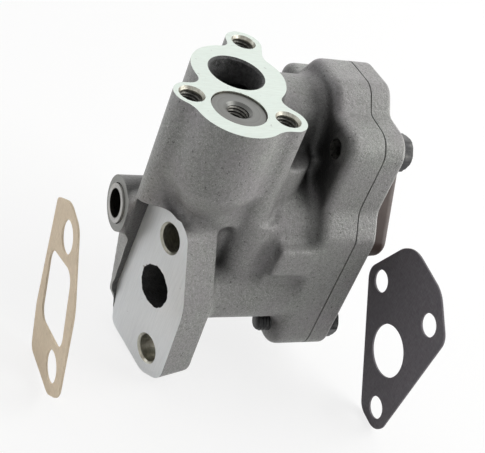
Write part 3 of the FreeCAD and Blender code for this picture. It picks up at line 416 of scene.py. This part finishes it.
def spring_wire():
    """Drawn spring wire, dull grey."""
    g = Graph("spring_wire")
    fine = g.noise(900, 3.0, 0.6)
    g.set("Base Color", g.ramp(fine, (0.3, (0.16, 0.16, 0.17)), (0.7, (0.27, 0.27, 0.28))))
    g.set("Metallic", 0.9)
    g.set("Roughness", g.ramp(fine, (0.3, 0.3), (0.7, 0.45)))
    g.bump((fine, 0.2, 0.0001))
    return g.material


def gasket_sheet(name, low, high, fleck, rough):
    """Pressed fibre sheet: short fibres in two directions and small flecks."""
    g = Graph(name)
    fibre_a = g.noise(1.0, 3.0, 0.6, at=g.stretched((900, 1500, 350), (0.5, 0, 0)))
    fibre_b = g.noise(1.0, 3.0, 0.6, at=g.stretched((900, 350, 1500), (0.9, 0, 0)))
    fibres = g.sum("MULTIPLY", g.sum("ADD", fibre_a, fibre_b), 0.5)
    spots = g.noise(650, 3.0, 0.7)
    cloud = g.noise(40, 2.0, 0.5)
    base = g.ramp(fibres, (0.36, low), (0.64, high))
    shaded = g.mix(g.ramp(cloud, (0.4, 0.0), (0.7, 0.35)), base, low)
    g.set("Base Color", g.mix(g.ramp(spots, (0.60, 0.0), (0.74, 0.7)), shaded, fleck))
    g.set("Roughness", rough)
    g.set("Specular IOR Level", 0.3)
    g.bump((fibres, 0.35, 0.00015), (spots, 0.3, 0.0002))
    return g.material


IRON = cast_iron("cast_iron", 1.30)
COVER_IRON = cast_iron("cover_iron", 1.30)
# Painted shade inside the cored passages, lighter for the open inlet and crossover.
CORE = rough_core("cored_passage_painted_shade", 1.0)
OPEN_CORE = rough_core("cored_inlet_painted_shade", 5.0)
PAD = machined_pad()
FACE = machined_flange()
DRILLED = drilled_wall()
THREAD = thread_steel()
PLUG_STEEL = turned("turned_plug", ("z", *PLUG), 0.34)
BOSS_FACE = turned("turned_boss", ("x", 0.0, 0.0), 0.50)
SHAFT = shaft_steel()
SEAM = joint_shade_and_dust()
BLACK = black_oxide()
SPRING = spring_wire()


# Mesh helpers.
def add_object(name, mesh, *materials):
    obj = bpy.data.objects.new(name, mesh)
    bpy.context.scene.collection.objects.link(obj)
    for m in materials:
        mesh.materials.append(m)
    return obj


def from_bmesh(name, bm, *materials):
    mesh = bpy.data.meshes.new(name)
    bmesh.ops.recalc_face_normals(bm, faces=bm.faces)
    bm.to_mesh(mesh)
    bm.free()
    return add_object(name, mesh, *materials)


def basis(along):
    """Two directions across a direction."""
    z = Vector(along).normalized()
    x = z.orthogonal().normalized()
    return x, z.cross(x), z


def skin(bm, rings, closed=False):
    """Faces from ring to ring of points, and back to the first ring where it is closed."""
    following = rings[1:] + rings[:1] if closed else rings[1:]
    for a, b in zip(rings, following):
        for i in range(len(a)):
            j = (i + 1) % len(a)
            bm.faces.new((a[i], a[j], b[j], b[i]))


def cap_ends(bm, rings):
    """Close the first and the last ring."""
    bm.faces.new(list(reversed(rings[0])))
    bm.faces.new(rings[-1])


def lathe(name, profile, at, along, material, around=96, wobble=None):
    """Closed solid turned from (radius, height) pairs in millimetres, low end first.

    A wobble adds to the radius by angle and height.
    """
    x, y, z = basis(along)
    bm = bmesh.new()
    rings = []
    for radius, height in profile:
        ring = []
        for i in range(around):
            angle = 2 * math.pi * i / around
            r = radius if wobble is None else radius + wobble(angle, height)
            p = Vector(at) + (x * math.cos(angle) + y * math.sin(angle)) * r + z * height
            ring.append(bm.verts.new(p * MM))
        rings.append(ring)
    skin(bm, rings)
    cap_ends(bm, rings)
    return from_bmesh(name, bm, material)


def rod(name, radius, at, along, length, material, around=96):
    """Plain round bar."""
    return lathe(name, [(radius, 0.0), (radius, length)], at, along, material, around)


def thread_grid(name, crest, root, pitch, at, along, length, material, inward=False, tip=0.0):
    """Helical thread surface: the radius rises and falls with height and turn.

    An inward one faces the axis, as in a hole, and has open ends. The tip is the length of a
    pointed end.
    """
    x, y, z = basis(along)
    around = 48
    rows = max(8, int(length / pitch * 10))
    bm = bmesh.new()
    grid = []
    for k in range(rows + 1):
        height = length * k / rows
        row = []
        for i in range(around):
            angle = 2 * math.pi * i / around
            phase = (height / pitch - i / around) % 1.0
            wave = abs(2 * phase - 1)
            wave = min(1.0, max(0.0, (wave - 0.12) / 0.76))
            radius = crest + (root - crest) * wave
            if tip and height < tip:
                radius = min(radius, crest - (tip - height) * 0.9)
            p = Vector(at) + (x * math.cos(angle) + y * math.sin(angle)) * radius + z * height
            row.append(bm.verts.new(p * MM))
        grid.append(row)
    skin(bm, grid)
    if not inward:
        cap_ends(bm, grid)
        return from_bmesh(name, bm, material)
    for face in bm.faces:
        face.normal_flip()
    mesh = bpy.data.meshes.new(name)
    bm.to_mesh(mesh)
    bm.free()
    return add_object(name, mesh, material)


def rounded_outline(corners, steps=8):
    """Points of a polygon whose corners (a, b, radius) are rounded."""
    points = []
    count = len(corners)
    for i in range(count):
        before = Vector(corners[i - 1][:2])
        here = Vector(corners[i][:2])
        after = Vector(corners[(i + 1) % count][:2])
        radius = corners[i][2]
        back = (before - here).normalized()
        ahead = (after - here).normalized()
        half = math.acos(max(-1, min(1, back.dot(ahead)))) / 2
        room = 0.48 * min((before - here).length, (after - here).length)
        radius = min(radius, room * math.tan(half))
        if radius <= 0:
            points.append(here)
            continue
        reach = radius / math.tan(half)
        centre = here + (back + ahead).normalized() * (radius / math.sin(half))
        start = here + back * reach
        end = here + ahead * reach
        a0 = math.atan2(start.y - centre.y, start.x - centre.x)
        a1 = math.atan2(end.y - centre.y, end.x - centre.x)
        turn = (a1 - a0 + math.pi) % (2 * math.pi) - math.pi
        for k in range(steps + 1):
            a = a0 + turn * k / steps
            points.append(centre + Vector((math.cos(a), math.sin(a))) * radius)
    return points


def prism(name, points, at, u, v, w, length, material):
    """Closed solid of an outline in the plane of u and v, drawn out along w."""
    bm = bmesh.new()
    low = [bm.verts.new((Vector(at) + u * p[0] + v * p[1]) * MM) for p in points]
    high = [bm.verts.new((Vector(at) + u * p[0] + v * p[1] + w * length) * MM) for p in points]
    skin(bm, [low, high])
    cap_ends(bm, [low, high])
    return from_bmesh(name, bm, material)


def offset(points, distance):
    """The same closed outline moved to the left of its direction."""
    moved = []
    for i, here in enumerate(points):
        along = (Vector(points[(i + 1) % len(points)]) - Vector(points[i - 1])).normalized()
        moved.append(Vector(here) + Vector((-along.y, along.x)) * distance)
    return moved


def band(name, points, inner, outer, x, thick, material):
    """Closed ring that follows an outline across the shaft, for a thin groove."""
    bm = bmesh.new()
    rings = []
    for distance, depth in ((outer, x), (inner, x), (inner, x + thick), (outer, x + thick)):
        outline = offset(points, distance)
        rings.append([bm.verts.new(Vector((depth, p[0], p[1])) * MM) for p in outline])
    skin(bm, rings, closed=True)
    return from_bmesh(name, bm, material)


def block(name, low, high, material):
    """Box between two corners."""
    a, b = Vector(low), Vector(high)
    outline = [(a.x, a.y), (b.x, a.y), (b.x, b.y), (a.x, b.y)]
    return prism(name, outline, (0, 0, a.z), X, Y, Z, b.z - a.z, material)


def apply_modifiers(obj):
    """Make the object's modifiers part of its mesh."""
    graph = bpy.context.evaluated_depsgraph_get()
    result = obj.evaluated_get(graph)
    mesh = bpy.data.meshes.new_from_object(result, preserve_all_data_layers=True, depsgraph=graph)
    obj.modifiers.clear()
    old = obj.data
    obj.data = mesh
    bpy.data.meshes.remove(old)
    return obj


def smooth(obj, degrees):
    """Shade the object smooth, with edges sharp from this angle on."""
    for polygon in obj.data.polygons:
        polygon.use_smooth = True
    obj.data.set_sharp_from_angle(angle=math.radians(degrees))
    return obj


def join(name, objects):
    """One object of several, with each piece's materials kept."""
    materials = []
    bm = bmesh.new()
    for obj in objects:
        start = len(bm.faces)
        bm.from_mesh(obj.data)
        bm.faces.ensure_lookup_table()
        places = []
        for m in obj.data.materials:
            if m not in materials:
                materials.append(m)
            places.append(materials.index(m))
        for face in bm.faces[start:]:
            face.material_index = places[face.material_index] if places else 0
    mesh = bpy.data.meshes.new(name)
    bm.to_mesh(mesh)
    bm.free()
    for obj in objects:
        bpy.data.objects.remove(obj)
    return add_object(name, mesh, *materials)


def cut_all(obj, cutters):
    """Take every cutter out of the object, each leaving its own material on its walls."""
    for cutter in cutters:
        modifier = obj.modifiers.new(cutter.name, "BOOLEAN")
        modifier.operation = "DIFFERENCE"
        modifier.solver = "MANIFOLD"
        modifier.object = cutter
        wall = cutter.data.materials[0]
        if wall.name not in [m.name for m in obj.data.materials]:
            obj.data.materials.append(wall)
        index = [m.name for m in obj.data.materials].index(wall.name)
        cutter.data.materials.clear()
        for m in obj.data.materials:
            cutter.data.materials.append(m)
        for polygon in cutter.data.polygons:
            polygon.material_index = index
        modifier.material_mode = "INDEX"
        apply_modifiers(obj)
        bpy.data.objects.remove(cutter)
    return obj


def flange_outline(grow=0.0):
    """Block flange from the middle of its two holes, sideways and up."""
    half = FLANGE_HALF
    return rounded_outline([
        (-24.5 - grow, -half - 3.5, 4.0),
        (-24.5 - grow, -half + 14.6, 12.0),
        (-14.8, half + 10.0, 2.5),
        (-1.5, half + 12.4, 12.0),
        (9.6 + grow, half + 6.4, 7.0),
        (16.0 + grow, 2.0, 24.0),
        (11.2 + grow, -half - 7.6, 7.0),
        (-0.5, -half - 11.2, 7.0),
    ])


def rim_outline():
    """Outline that the rotor housing shares with the cover, across the shaft."""
    return rounded_outline([
        (-38.2, -44.2, 9.2),
        (-38.2, 15.5, 8.0),
        (-31.8, 25.0, 8.0),
        (-31.8, 56.2, 9.2),
        (-13.5, 56.7, 4.0),
        (-6.5, 64.8, 8.0),
        (13.5, 63.8, 8.0),
        (21.5, 51.2, 4.0),
        (32.2, 50.2, 9.2),
        (32.2, 24.0, 8.0),
        (31.2, 14.0, 8.0),
        (31.2, -44.2, 9.2),
    ])


LEAN_SIDE = FLANGE_SIDE * math.cos(LEAN) + Z * math.sin(LEAN)
LEAN_UP = Z * math.cos(LEAN) - FLANGE_SIDE * math.sin(LEAN)


# The casting.
def ragged(amount, seed):
    """Small uneven steps round a cored hole."""
    def wobble(angle, height):
        slow = math.sin(5 * angle + seed) * 0.45
        middle = math.sin(11 * angle + 2.1 * seed) * 0.35
        fast = math.sin(23 * angle + height * 0.6 + seed) * 0.2
        return amount * (slow + middle + fast)
    return wobble


def crescent_points(sign):
    """Outline of a port: two arcs about the middle of the rotors, closed by round ends."""
    inner, outer = 12.0, 20.2
    start, stop = math.radians(24), math.radians(156)
    middle = (inner + outer) / 2
    half = (outer - inner) / 2
    polar = [(outer, start + (stop - start) * k / 24) for k in range(25)]
    for k in range(1, 8):
        a = math.pi * k / 8
        polar.append((middle + half * math.cos(a), stop + half / middle * math.sin(a)))
    polar += [(inner, stop + (start - stop) * k / 24) for k in range(25)]
    for k in range(1, 8):
        a = math.pi * k / 8
        polar.append((middle - half * math.cos(a), start - half / middle * math.sin(a)))
    points = [(ROTOR_Y / 2 + r * math.cos(a), sign * r * math.sin(a)) for r, a in polar]
    return points if sign > 0 else list(reversed(points))


def flange_holes():
    """Bolt hole centres on the flange face: upper, lower."""
    return [FLANGE_MID + LEAN_UP * FLANGE_HALF, FLANGE_MID - LEAN_UP * FLANGE_HALF]


def fillers():
    """Plugs that close every hole, so that softening the casting leaves the holes' edges alone."""
    made = [
        rod("fill_shaft", 8.4, (-3, 0, 0), X, 70, IRON, 48),
        rod("fill_bush", 9.4, (35, 0, 0), X, 30, IRON, 48),
        rod("fill_pocket", 28.4, (52.5, ROTOR_Y, 0), X, 34, IRON, 64),
        rod("fill_inlet", 10.8, (*INLET, 23), Z, 41, IRON, 48),
        rod("fill_crossover", 10.9, CROSSOVER, X, 56, IRON, 48),
        rod("fill_plug", 10.7, (*PLUG, 20), Z, 44, IRON, 48),
        rod("fill_sump", 4.5, (*PLUG, 14), Z, 14, IRON, 32),
        rod("fill_level", 3.5, (23, PLUG[1], GALLERY_Z), X, 26, IRON, 32),
        rod("fill_upright", 3.4, (GALLERY_X, PLUG[1], -29.0), Z, 50, IRON, 32),
        rod("fill_outlet", 8.9, (8, *OUTLET_END[1:]), X, 51, IRON, 48),
    ]
    for i, (x, y) in enumerate(TAPPED):
        made.append(rod("fill_tapped%d" % i, 4.9, (x, y, 42), Z, 22, IRON, 32))
    for i, (y, z) in enumerate(UPPER + LOWER):
        made.append(rod("fill_bolt%d" % i, 4.3, (66.0, y, z), X, 19.5, IRON, 32))
    for i, (y, z) in enumerate(DOWELS):
        made.append(rod("fill_dowel%d" % i, 2.9, (74, y, z), X, 11.5, IRON, 32))
    for i, centre in enumerate(flange_holes()):
        made.append(rod("fill_flange%d" % i, 6.0, centre - FLANGE_OUT * 13.8, FLANGE_OUT, 17.0, IRON, 48))
    return made


def cutters():
    """Everything that is machined or cored out of the softened casting, with the finish of its walls."""
    inlet = [(9.7, 0), (9.7, 31.5), (10.0, 32.2), (10.0, 35.2), (10.9, 36.1), (10.9, 40)]
    crossover = [(10.2, 0), (10.2, 26), (10.5, 54)]
    outlet = [(8.1, 0), (8.1, 20), (8.2, 45), (8.25, 54)]
    tapped = [(TAP_R, 0), (TAP_R, 15.9), (4.4, 16.3), (4.9, 17.2)]
    made = [
        block("cut_pad", (-10, -60, PAD_Z), (PAD_END_X + 0.7, 50, 75), PAD),
        block("cut_joint", (JOINT_X, -60, -70), (95, 60, 80), PAD),
        band("cut_seam", rim_outline(), -SEAM_DEPTH, 2.0, JOINT_X - 0.5, SEAM_WIDTH, SEAM),
        block("cut_boss", (-20, -16, -16), (BOSS_X, 16, 16), BOSS_FACE),
        prism("cut_flange", flange_outline(0.5), FLANGE_MID, LEAN_SIDE, LEAN_UP, FLANGE_OUT, 14, FACE),
        rod("shaft_bore", SHAFT_BORE_R, (-4, 0, 0), X, 66, DRILLED),
        rod("bush_bore", BUSH_R, (BUSH_X, 0, 0), X, 26, DRILLED),
        rod("pocket", POCKET_R, (POCKET_X, ROTOR_Y, 0), X, 30, DRILLED, 128),
        prism("port_in", crescent_points(1), (POCKET_X - 7, 0, 0), Y, Z, X, 9, CORE),
        prism("port_out", crescent_points(-1), (POCKET_X - 7, 0, 0), Y, Z, X, 9, CORE),
        lathe("inlet", inlet, (*INLET, 24), Z, OPEN_CORE, 96),
        lathe("crossover", crossover, CROSSOVER, X, OPEN_CORE, 96, ragged(0.35, 1.0)),
        rod("plug_seat", PLUG_BORE_R, (*PLUG, PLUG_FLOOR_Z), Z, 12, DRILLED),
        rod("valve_bore", VALVE_R, (*PLUG, 25), Z, 30, DRILLED),
        rod("valve_sump", 4.0, (*PLUG, 16), Z, 10, DRILLED),
        rod("level", GALLERY_R, (*PLUG, GALLERY_Z), X, GALLERY_X - PLUG[0], DRILLED, 48),
        rod("upright", GALLERY_R, (GALLERY_X, PLUG[1], -40), Z, 40 + GALLERY_Z, DRILLED, 48),
        rod("relief_port", 3.5, (25.1, PLUG[1], 29), Y, 22.5, DRILLED, 48),
        lathe("outlet", outlet, OUTLET_END, -X, CORE, 120, ragged(0.3, 2.2)),
        rod("outlet_link", 4.4, (54.74, -26, -18), Vector((0, 16, 12)), 18, CORE, 48),
    ]
    for i, (x, y) in enumerate(TAPPED):
        made.append(lathe("tapped%d" % i, tapped, (x, y, 43), Z, DRILLED, 64))
    for i, (y, z) in enumerate(UPPER + LOWER):
        made.append(rod("thread%d" % i, 3.99, (63, y, z), X, 21, THREAD, 64))
    for i, (y, z) in enumerate(DOWELS):
        made.append(rod("dowel%d" % i, 2.5, (75, y, z), X, 9, DRILLED, 48))
    upper, lower = flange_holes()
    plain = [(FLANGE_HOLE_R, 1.0)]
    spot_faced = [(7.95, -3), (7.95, 2.0), (FLANGE_HOLE_R, 2.05)]
    mouth = [(FLANGE_HOLE_R, 15.2), (6.4, 16.25), (6.4, 18)]
    made.append(lathe("bolt_upper", plain + mouth, upper - FLANGE_OUT * 16, FLANGE_OUT, DRILLED))
    made.append(lathe("bolt_lower", spot_faced + mouth, lower - FLANGE_OUT * 16, FLANGE_OUT, DRILLED))
    return made


def voxels(obj, size):
    """Build the surface anew from cubes of this size."""
    modifier = obj.modifiers.new("voxels", "REMESH")
    modifier.mode = "VOXEL"
    modifier.voxel_size = size


def swell(obj, distance):
    """Move the surface outward, or inward where the distance is negative."""
    modifier = obj.modifiers.new("swell", "DISPLACE")
    modifier.strength = distance
    modifier.mid_level = 0.0


def relax(obj):
    """Even out the steps that the cubes leave."""
    modifier = obj.modifiers.new("relax", "SMOOTH")
    modifier.factor = 0.5
    modifier.iterations = 6


def make_casting():
    """The solid model's own form, with cast fillets and crisp machined faces and holes."""
    bm = bmesh.new()
    bm.from_mesh(nodes["pump_body"].data)
    bmesh.ops.remove_doubles(bm, verts=bm.verts, dist=2e-6)
    # The machined faces get extra stock, which the cutters take off again after the softening.
    near = 3e-5
    level = FLANGE_MID.dot(FLANGE_OUT) * MM
    for v in bm.verts:
        if abs(v.co.z - PAD_Z * MM) < near and v.co.x < PAD_END_X * MM:
            v.co.z += 4.0 * MM
        if abs(v.co.x - JOINT_X * MM) < near:
            v.co.x += 3.0 * MM
        if abs(v.co.x - BOSS_X * MM) < near:
            v.co.x -= 3.0 * MM
        if abs(v.co.dot(FLANGE_OUT) - level) < near:
            v.co += FLANGE_OUT * 3.5 * MM
    blank = from_bmesh("casting_blank", bm, IRON)
    body = join("casting", [blank] + fillers())
    body.data.materials.clear()
    body.data.materials.append(IRON)
    for polygon in body.data.polygons:
        polygon.material_index = 0

    voxels(body, VOXEL)
    apply_modifiers(body)
    # Swelling and shrinking back leaves fillets of this size in the inner corners.
    swell(body, FILLET)
    voxels(body, VOXEL)
    relax(body)
    swell(body, -FILLET)
    voxels(body, FINE_VOXEL)
    relax(body)
    apply_modifiers(body)
    cut_all(body, cutters())
    # Walls beside a machined face keep the look of the casting.
    names = [m.name for m in body.data.materials]
    for polygon in body.data.polygons:
        for flat, normal in ((FACE, FLANGE_OUT), (PAD, Z)):
            if polygon.material_index == names.index(flat.name) and polygon.normal.dot(normal) < 0.97:
                polygon.material_index = names.index(IRON.name)
    return smooth(body, 38)


casting = make_casting()
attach(casting, "pump")
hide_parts("pump_body")


# Plug, threads, bolts and spring.
def make_plug():
    """Turned disc with bevelled rims and a tapped hole, sunk a little below the pad."""
    profile = [
        (TAP_R, 0.0), (9.7, 0.0), (10.12, 0.4), (10.12, 6.0),
        (9.85, 6.35), (5.1, 6.4), (4.6, 5.9), (TAP_R, 5.4),
    ]
    around = 128
    foot = Vector((*PLUG, PLUG_FLOOR_Z))
    bm = bmesh.new()
    rings = []
    for radius, height in profile:
        ring = []
        for i in range(around):
            a = 2 * math.pi * i / around
            rise = Vector((radius * math.cos(a), radius * math.sin(a), height))
            ring.append(bm.verts.new((foot + rise) * MM))
        rings.append(ring)
    skin(bm, rings, closed=True)
    plug = smooth(from_bmesh("plug_disc", bm, PLUG_STEEL), 25)
    low = (*PLUG, PLUG_FLOOR_Z + 0.05)
    thread = thread_grid("plug_thread", 3.6, TAP_R, PAD_PITCH, low, Z, 5.4, THREAD, True)
    return join("relief_plug_detail", [plug, smooth(thread, 60)])


plug = make_plug()
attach(plug, "pump")
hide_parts("relief_plug")

threads = []
for i, (x, y) in enumerate(TAPPED):
    thread = thread_grid("pad_thread%d" % i, 3.4, TAP_R, PAD_PITCH, (x, y, 43.05), Z, 15.6, THREAD, True)
    threads.append(smooth(thread, 60))
pad_threads = join("pad_threads", threads)
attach(pad_threads, "pump")


def make_bolt(name, y, z, length):
    """Hexagon bolt: chamfered head with a washer face, rolled thread and a pointed end."""
    start = JOINT_X + COVER_THICK
    bm = bmesh.new()
    half = BOLT_AF / 2
    around = 72
    # Height and widest radius of each ring of the head: washer face, hexagon, chamfer, top.
    layers = [
        (0.0, half * 0.93), (0.45, half * 0.95), (0.46, BOLT_AF),
        (4.55, half * 1.135), (5.05, half * 1.03), (5.4, half * 0.90),
    ]
    rings = []
    for height, widest in layers:
        ring = []
        for i in range(around):
            a = 2 * math.pi * i / around
            sector = (a + math.pi / 6) % (math.pi / 3) - math.pi / 6
            radius = min(half / math.cos(sector), widest)
            across, up = radius * math.cos(a + BOLT_TURN), radius * math.sin(a + BOLT_TURN)
            ring.append(bm.verts.new(Vector((start + height, y + across, z + up)) * MM))
        rings.append(ring)
    skin(bm, rings)
    bm.faces.new(rings[0])
    bm.faces.new(rings[-1])
    head = smooth(from_bmesh(name + "_head", bm, BLACK), 24)
    end = (start - length, y, z)
    thread = thread_grid(
        name + "_thread", BOLT_CREST_R, BOLT_ROOT_R, BOLT_PITCH, end, X, length, BLACK, tip=0.9
    )
    return [head, smooth(thread, 50)]


for name, places, length in (("upper_bolts", UPPER, 21.0), ("lower_bolts", LOWER, 30.0)):
    pieces = []
    for i, (y, z) in enumerate(places):
        pieces += make_bolt("%s_%d" % (name, i), y, z, length)
    bolts = join(name + "_detail", pieces)
    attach(bolts, "pump")
    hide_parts(name)


def make_spring(low, high):
    """Coil spring along Z about the relief valve, with both wire ends closed."""
    around, steps = 14, int(SPRING_TURNS * 44)
    climb = (high - low) / (2 * math.pi * SPRING_TURNS)
    bm = bmesh.new()
    rings = []
    for k in range(steps + 1):
        turn = 2 * math.pi * SPRING_TURNS * k / steps
        out = Vector((math.cos(turn), math.sin(turn), 0))
        along = Vector((-SPRING_R * math.sin(turn), SPRING_R * math.cos(turn), climb)).normalized()
        across = along.cross(out)
        centre = Vector((*PLUG, low + climb * turn)) + out * SPRING_R
        ring = []
        for i in range(around):
            a = 2 * math.pi * i / around
            reach = (out * math.cos(a) + across * math.sin(a)) * SPRING_WIRE_R
            ring.append(bm.verts.new((centre + reach) * MM))
        rings.append(ring)
    skin(bm, rings)
    cap_ends(bm, rings)
    return smooth(from_bmesh("relief_spring_coil", bm, SPRING), 50)


spring = make_spring(SPRING_LOW + SPRING_WIRE_R + 0.03, SPRING_HIGH - SPRING_WIRE_R - 0.03)
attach(spring, "pump")
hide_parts("relief_spring")
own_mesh(spring)


# Finishes on the carried-over nodes.
def finish_node(name, material):
    """Put one material on all of a carried-over node."""
    obj = nodes[name]
    if not obj.material_slots:
        obj.data.materials.append(material)
    for slot in obj.material_slots:
        slot.material = material


finish_node("cover_plate", COVER_IRON)
finish_node("cover_cap", cap_coat())
finish_node("drive_shaft", SHAFT)
finish_node("rotor_pin", SHAFT)
finish_node("cover_dowels", SHAFT)
finish_node("gallery_ball", SHAFT)
finish_node("relief_plunger", SHAFT)
rotor = sintered()
finish_node("inner_rotor", rotor)
finish_node("outer_rotor", rotor)
finish_node("shaft_bush", bronze())
tan = gasket_sheet("tan_gasket", (0.66, 0.545, 0.405), (0.76, 0.64, 0.49), (0.56, 0.455, 0.34), 0.9)
finish_node("flange_gasket", tan)
dark = gasket_sheet(
    "black_gasket", (0.118, 0.110, 0.120), (0.172, 0.160, 0.176), (0.20, 0.185, 0.20), 0.85
)
finish_node("pickup_gasket", dark)


# Floor, light and camera.
def stage_material():
    """Pale floor that the camera and reflections see as nearly white, with the object's shadow kept."""
    g = Graph("pale_floor")
    cloud = g.noise(3.0, 2.0, 0.5)
    g.set("Base Color", g.ramp(cloud, (0.3, 0.90), (0.7, 0.92)))
    g.set("Roughness", 0.9)
    g.set("Specular IOR Level", 0.1)
    path = g.tree.nodes.new("ShaderNodeLightPath")
    white = g.tree.nodes.new("ShaderNodeEmission")
    white.inputs["Color"].default_value = (1, 1, 1, 1)
    white.inputs["Strength"].default_value = 1.0
    blend = g.tree.nodes.new("ShaderNodeMixShader")
    seen = g.sum("MAXIMUM", path.outputs["Is Camera Ray"], path.outputs["Is Glossy Ray"])
    seen = g.sum("MAXIMUM", seen, path.outputs["Is Transmission Ray"])
    g.link(g.sum("MULTIPLY", seen, 0.80), blend.inputs[0])
    g.link(g.shader.outputs[0], blend.inputs[1])
    g.link(white.outputs[0], blend.inputs[2])
    g.link(blend.outputs[0], g.out.inputs[0])
    return g.material


bm = bmesh.new()
bmesh.ops.create_grid(bm, x_segments=1, y_segments=1, size=4.0)
bmesh.ops.translate(bm, vec=Vector((0, 0, FLOOR_Z * MM)), verts=bm.verts)
floor = from_bmesh("floor", bm, stage_material())

# The camera's place and its directions, solved from the photograph's perspective.
CAMERA_AT = (-0.14821, -0.29712, 0.24533)
RIGHT = Vector((0.88548, -0.33981, 0.31694))
UP = Vector((-0.01637, 0.65883, 0.75211))
BACK = Vector((-0.46439, -0.67117, 0.57782))
MIDDLE = Vector((0.040, -0.012, 0.005))

camera_data = bpy.data.cameras.new("camera")
camera_data.sensor_width = 36.0
camera_data.sensor_fit = "HORIZONTAL"
camera_data.lens = 81.65
camera_data.clip_start = 0.01
camera_data.clip_end = 50.0
camera = bpy.data.objects.new("camera", camera_data)
turn = Matrix((RIGHT, UP, BACK)).transposed().to_4x4()
camera.matrix_world = Matrix.Translation(CAMERA_AT) @ turn
bpy.context.scene.collection.objects.link(camera)
bpy.context.scene.camera = camera


def soft_light(name, direction, distance, size, power, colour=(1, 1, 1)):
    """Area light that looks at the object from a direction given as right, up and toward the viewer."""
    towards = (RIGHT * direction[0] + UP * direction[1] + BACK * direction[2]).normalized()
    data = bpy.data.lights.new(name, "AREA")
    data.shape = "RECTANGLE"
    data.size = size[0]
    data.size_y = size[1]
    data.energy = power
    data.color = colour
    light = bpy.data.objects.new(name, data)
    light.location = MIDDLE + towards * distance
    light.rotation_euler = towards.to_track_quat("Z", "Y").to_euler()
    bpy.context.scene.collection.objects.link(light)


soft_light("top", (0.20, 0.96, -0.15), 1.1, (2.2, 1.8), 8.9, (1.0, 1.0, 0.985))
soft_light("left", (-0.97, 0.05, 0.10), 0.9, (0.8, 1.2), 7.5, (0.97, 0.98, 1.0))
soft_light("right", (0.92, 0.06, 0.00), 0.9, (0.8, 1.2), 12.0, (1.0, 1.0, 0.98))

# White behind everything for camera, transmission and glossy rays. As light it is plain, and weaker
# from the viewer's side, as in the photograph's studio.
world = bpy.data.worlds.new("studio")
world.use_nodes = True
tree = world.node_tree
tree.nodes.clear()
path = tree.nodes.new("ShaderNodeLightPath")
seen_direct = tree.nodes.new("ShaderNodeMath")
seen_direct.operation = "MAXIMUM"
seen = tree.nodes.new("ShaderNodeMath")
seen.operation = "MAXIMUM"
tree.links.new(path.outputs["Is Camera Ray"], seen_direct.inputs[0])
tree.links.new(path.outputs["Is Transmission Ray"], seen_direct.inputs[1])
tree.links.new(seen_direct.outputs[0], seen.inputs[0])
tree.links.new(path.outputs["Is Glossy Ray"], seen.inputs[1])
direction = tree.nodes.new("ShaderNodeTexCoord")
frontness = tree.nodes.new("ShaderNodeVectorMath")
frontness.operation = "DOT_PRODUCT"
tree.links.new(direction.outputs["Generated"], frontness.inputs[0])
frontness.inputs[1].default_value = tuple(BACK)
spread = tree.nodes.new("ShaderNodeMapRange")
tree.links.new(frontness.outputs["Value"], spread.inputs["Value"])
spread.inputs["From Min"].default_value = -0.1
spread.inputs["From Max"].default_value = 0.7
spread.inputs["To Min"].default_value = 0.60
spread.inputs["To Max"].default_value = 0.03
lighting = tree.nodes.new("ShaderNodeBackground")
lighting.inputs[0].default_value = (1.0, 1.0, 1.0, 1)
tree.links.new(spread.outputs[0], lighting.inputs[1])
backdrop = tree.nodes.new("ShaderNodeBackground")
backdrop.inputs[0].default_value = (1, 1, 1, 1)
backdrop.inputs[1].default_value = 1.0
blend = tree.nodes.new("ShaderNodeMixShader")
output = tree.nodes.new("ShaderNodeOutputWorld")
tree.links.new(seen.outputs[0], blend.inputs[0])
tree.links.new(lighting.outputs[0], blend.inputs[1])
tree.links.new(backdrop.outputs[0], blend.inputs[2])
tree.links.new(blend.outputs[0], output.inputs[0])
bpy.context.scene.world = world

bpy.context.scene.view_settings.view_transform = "Standard"
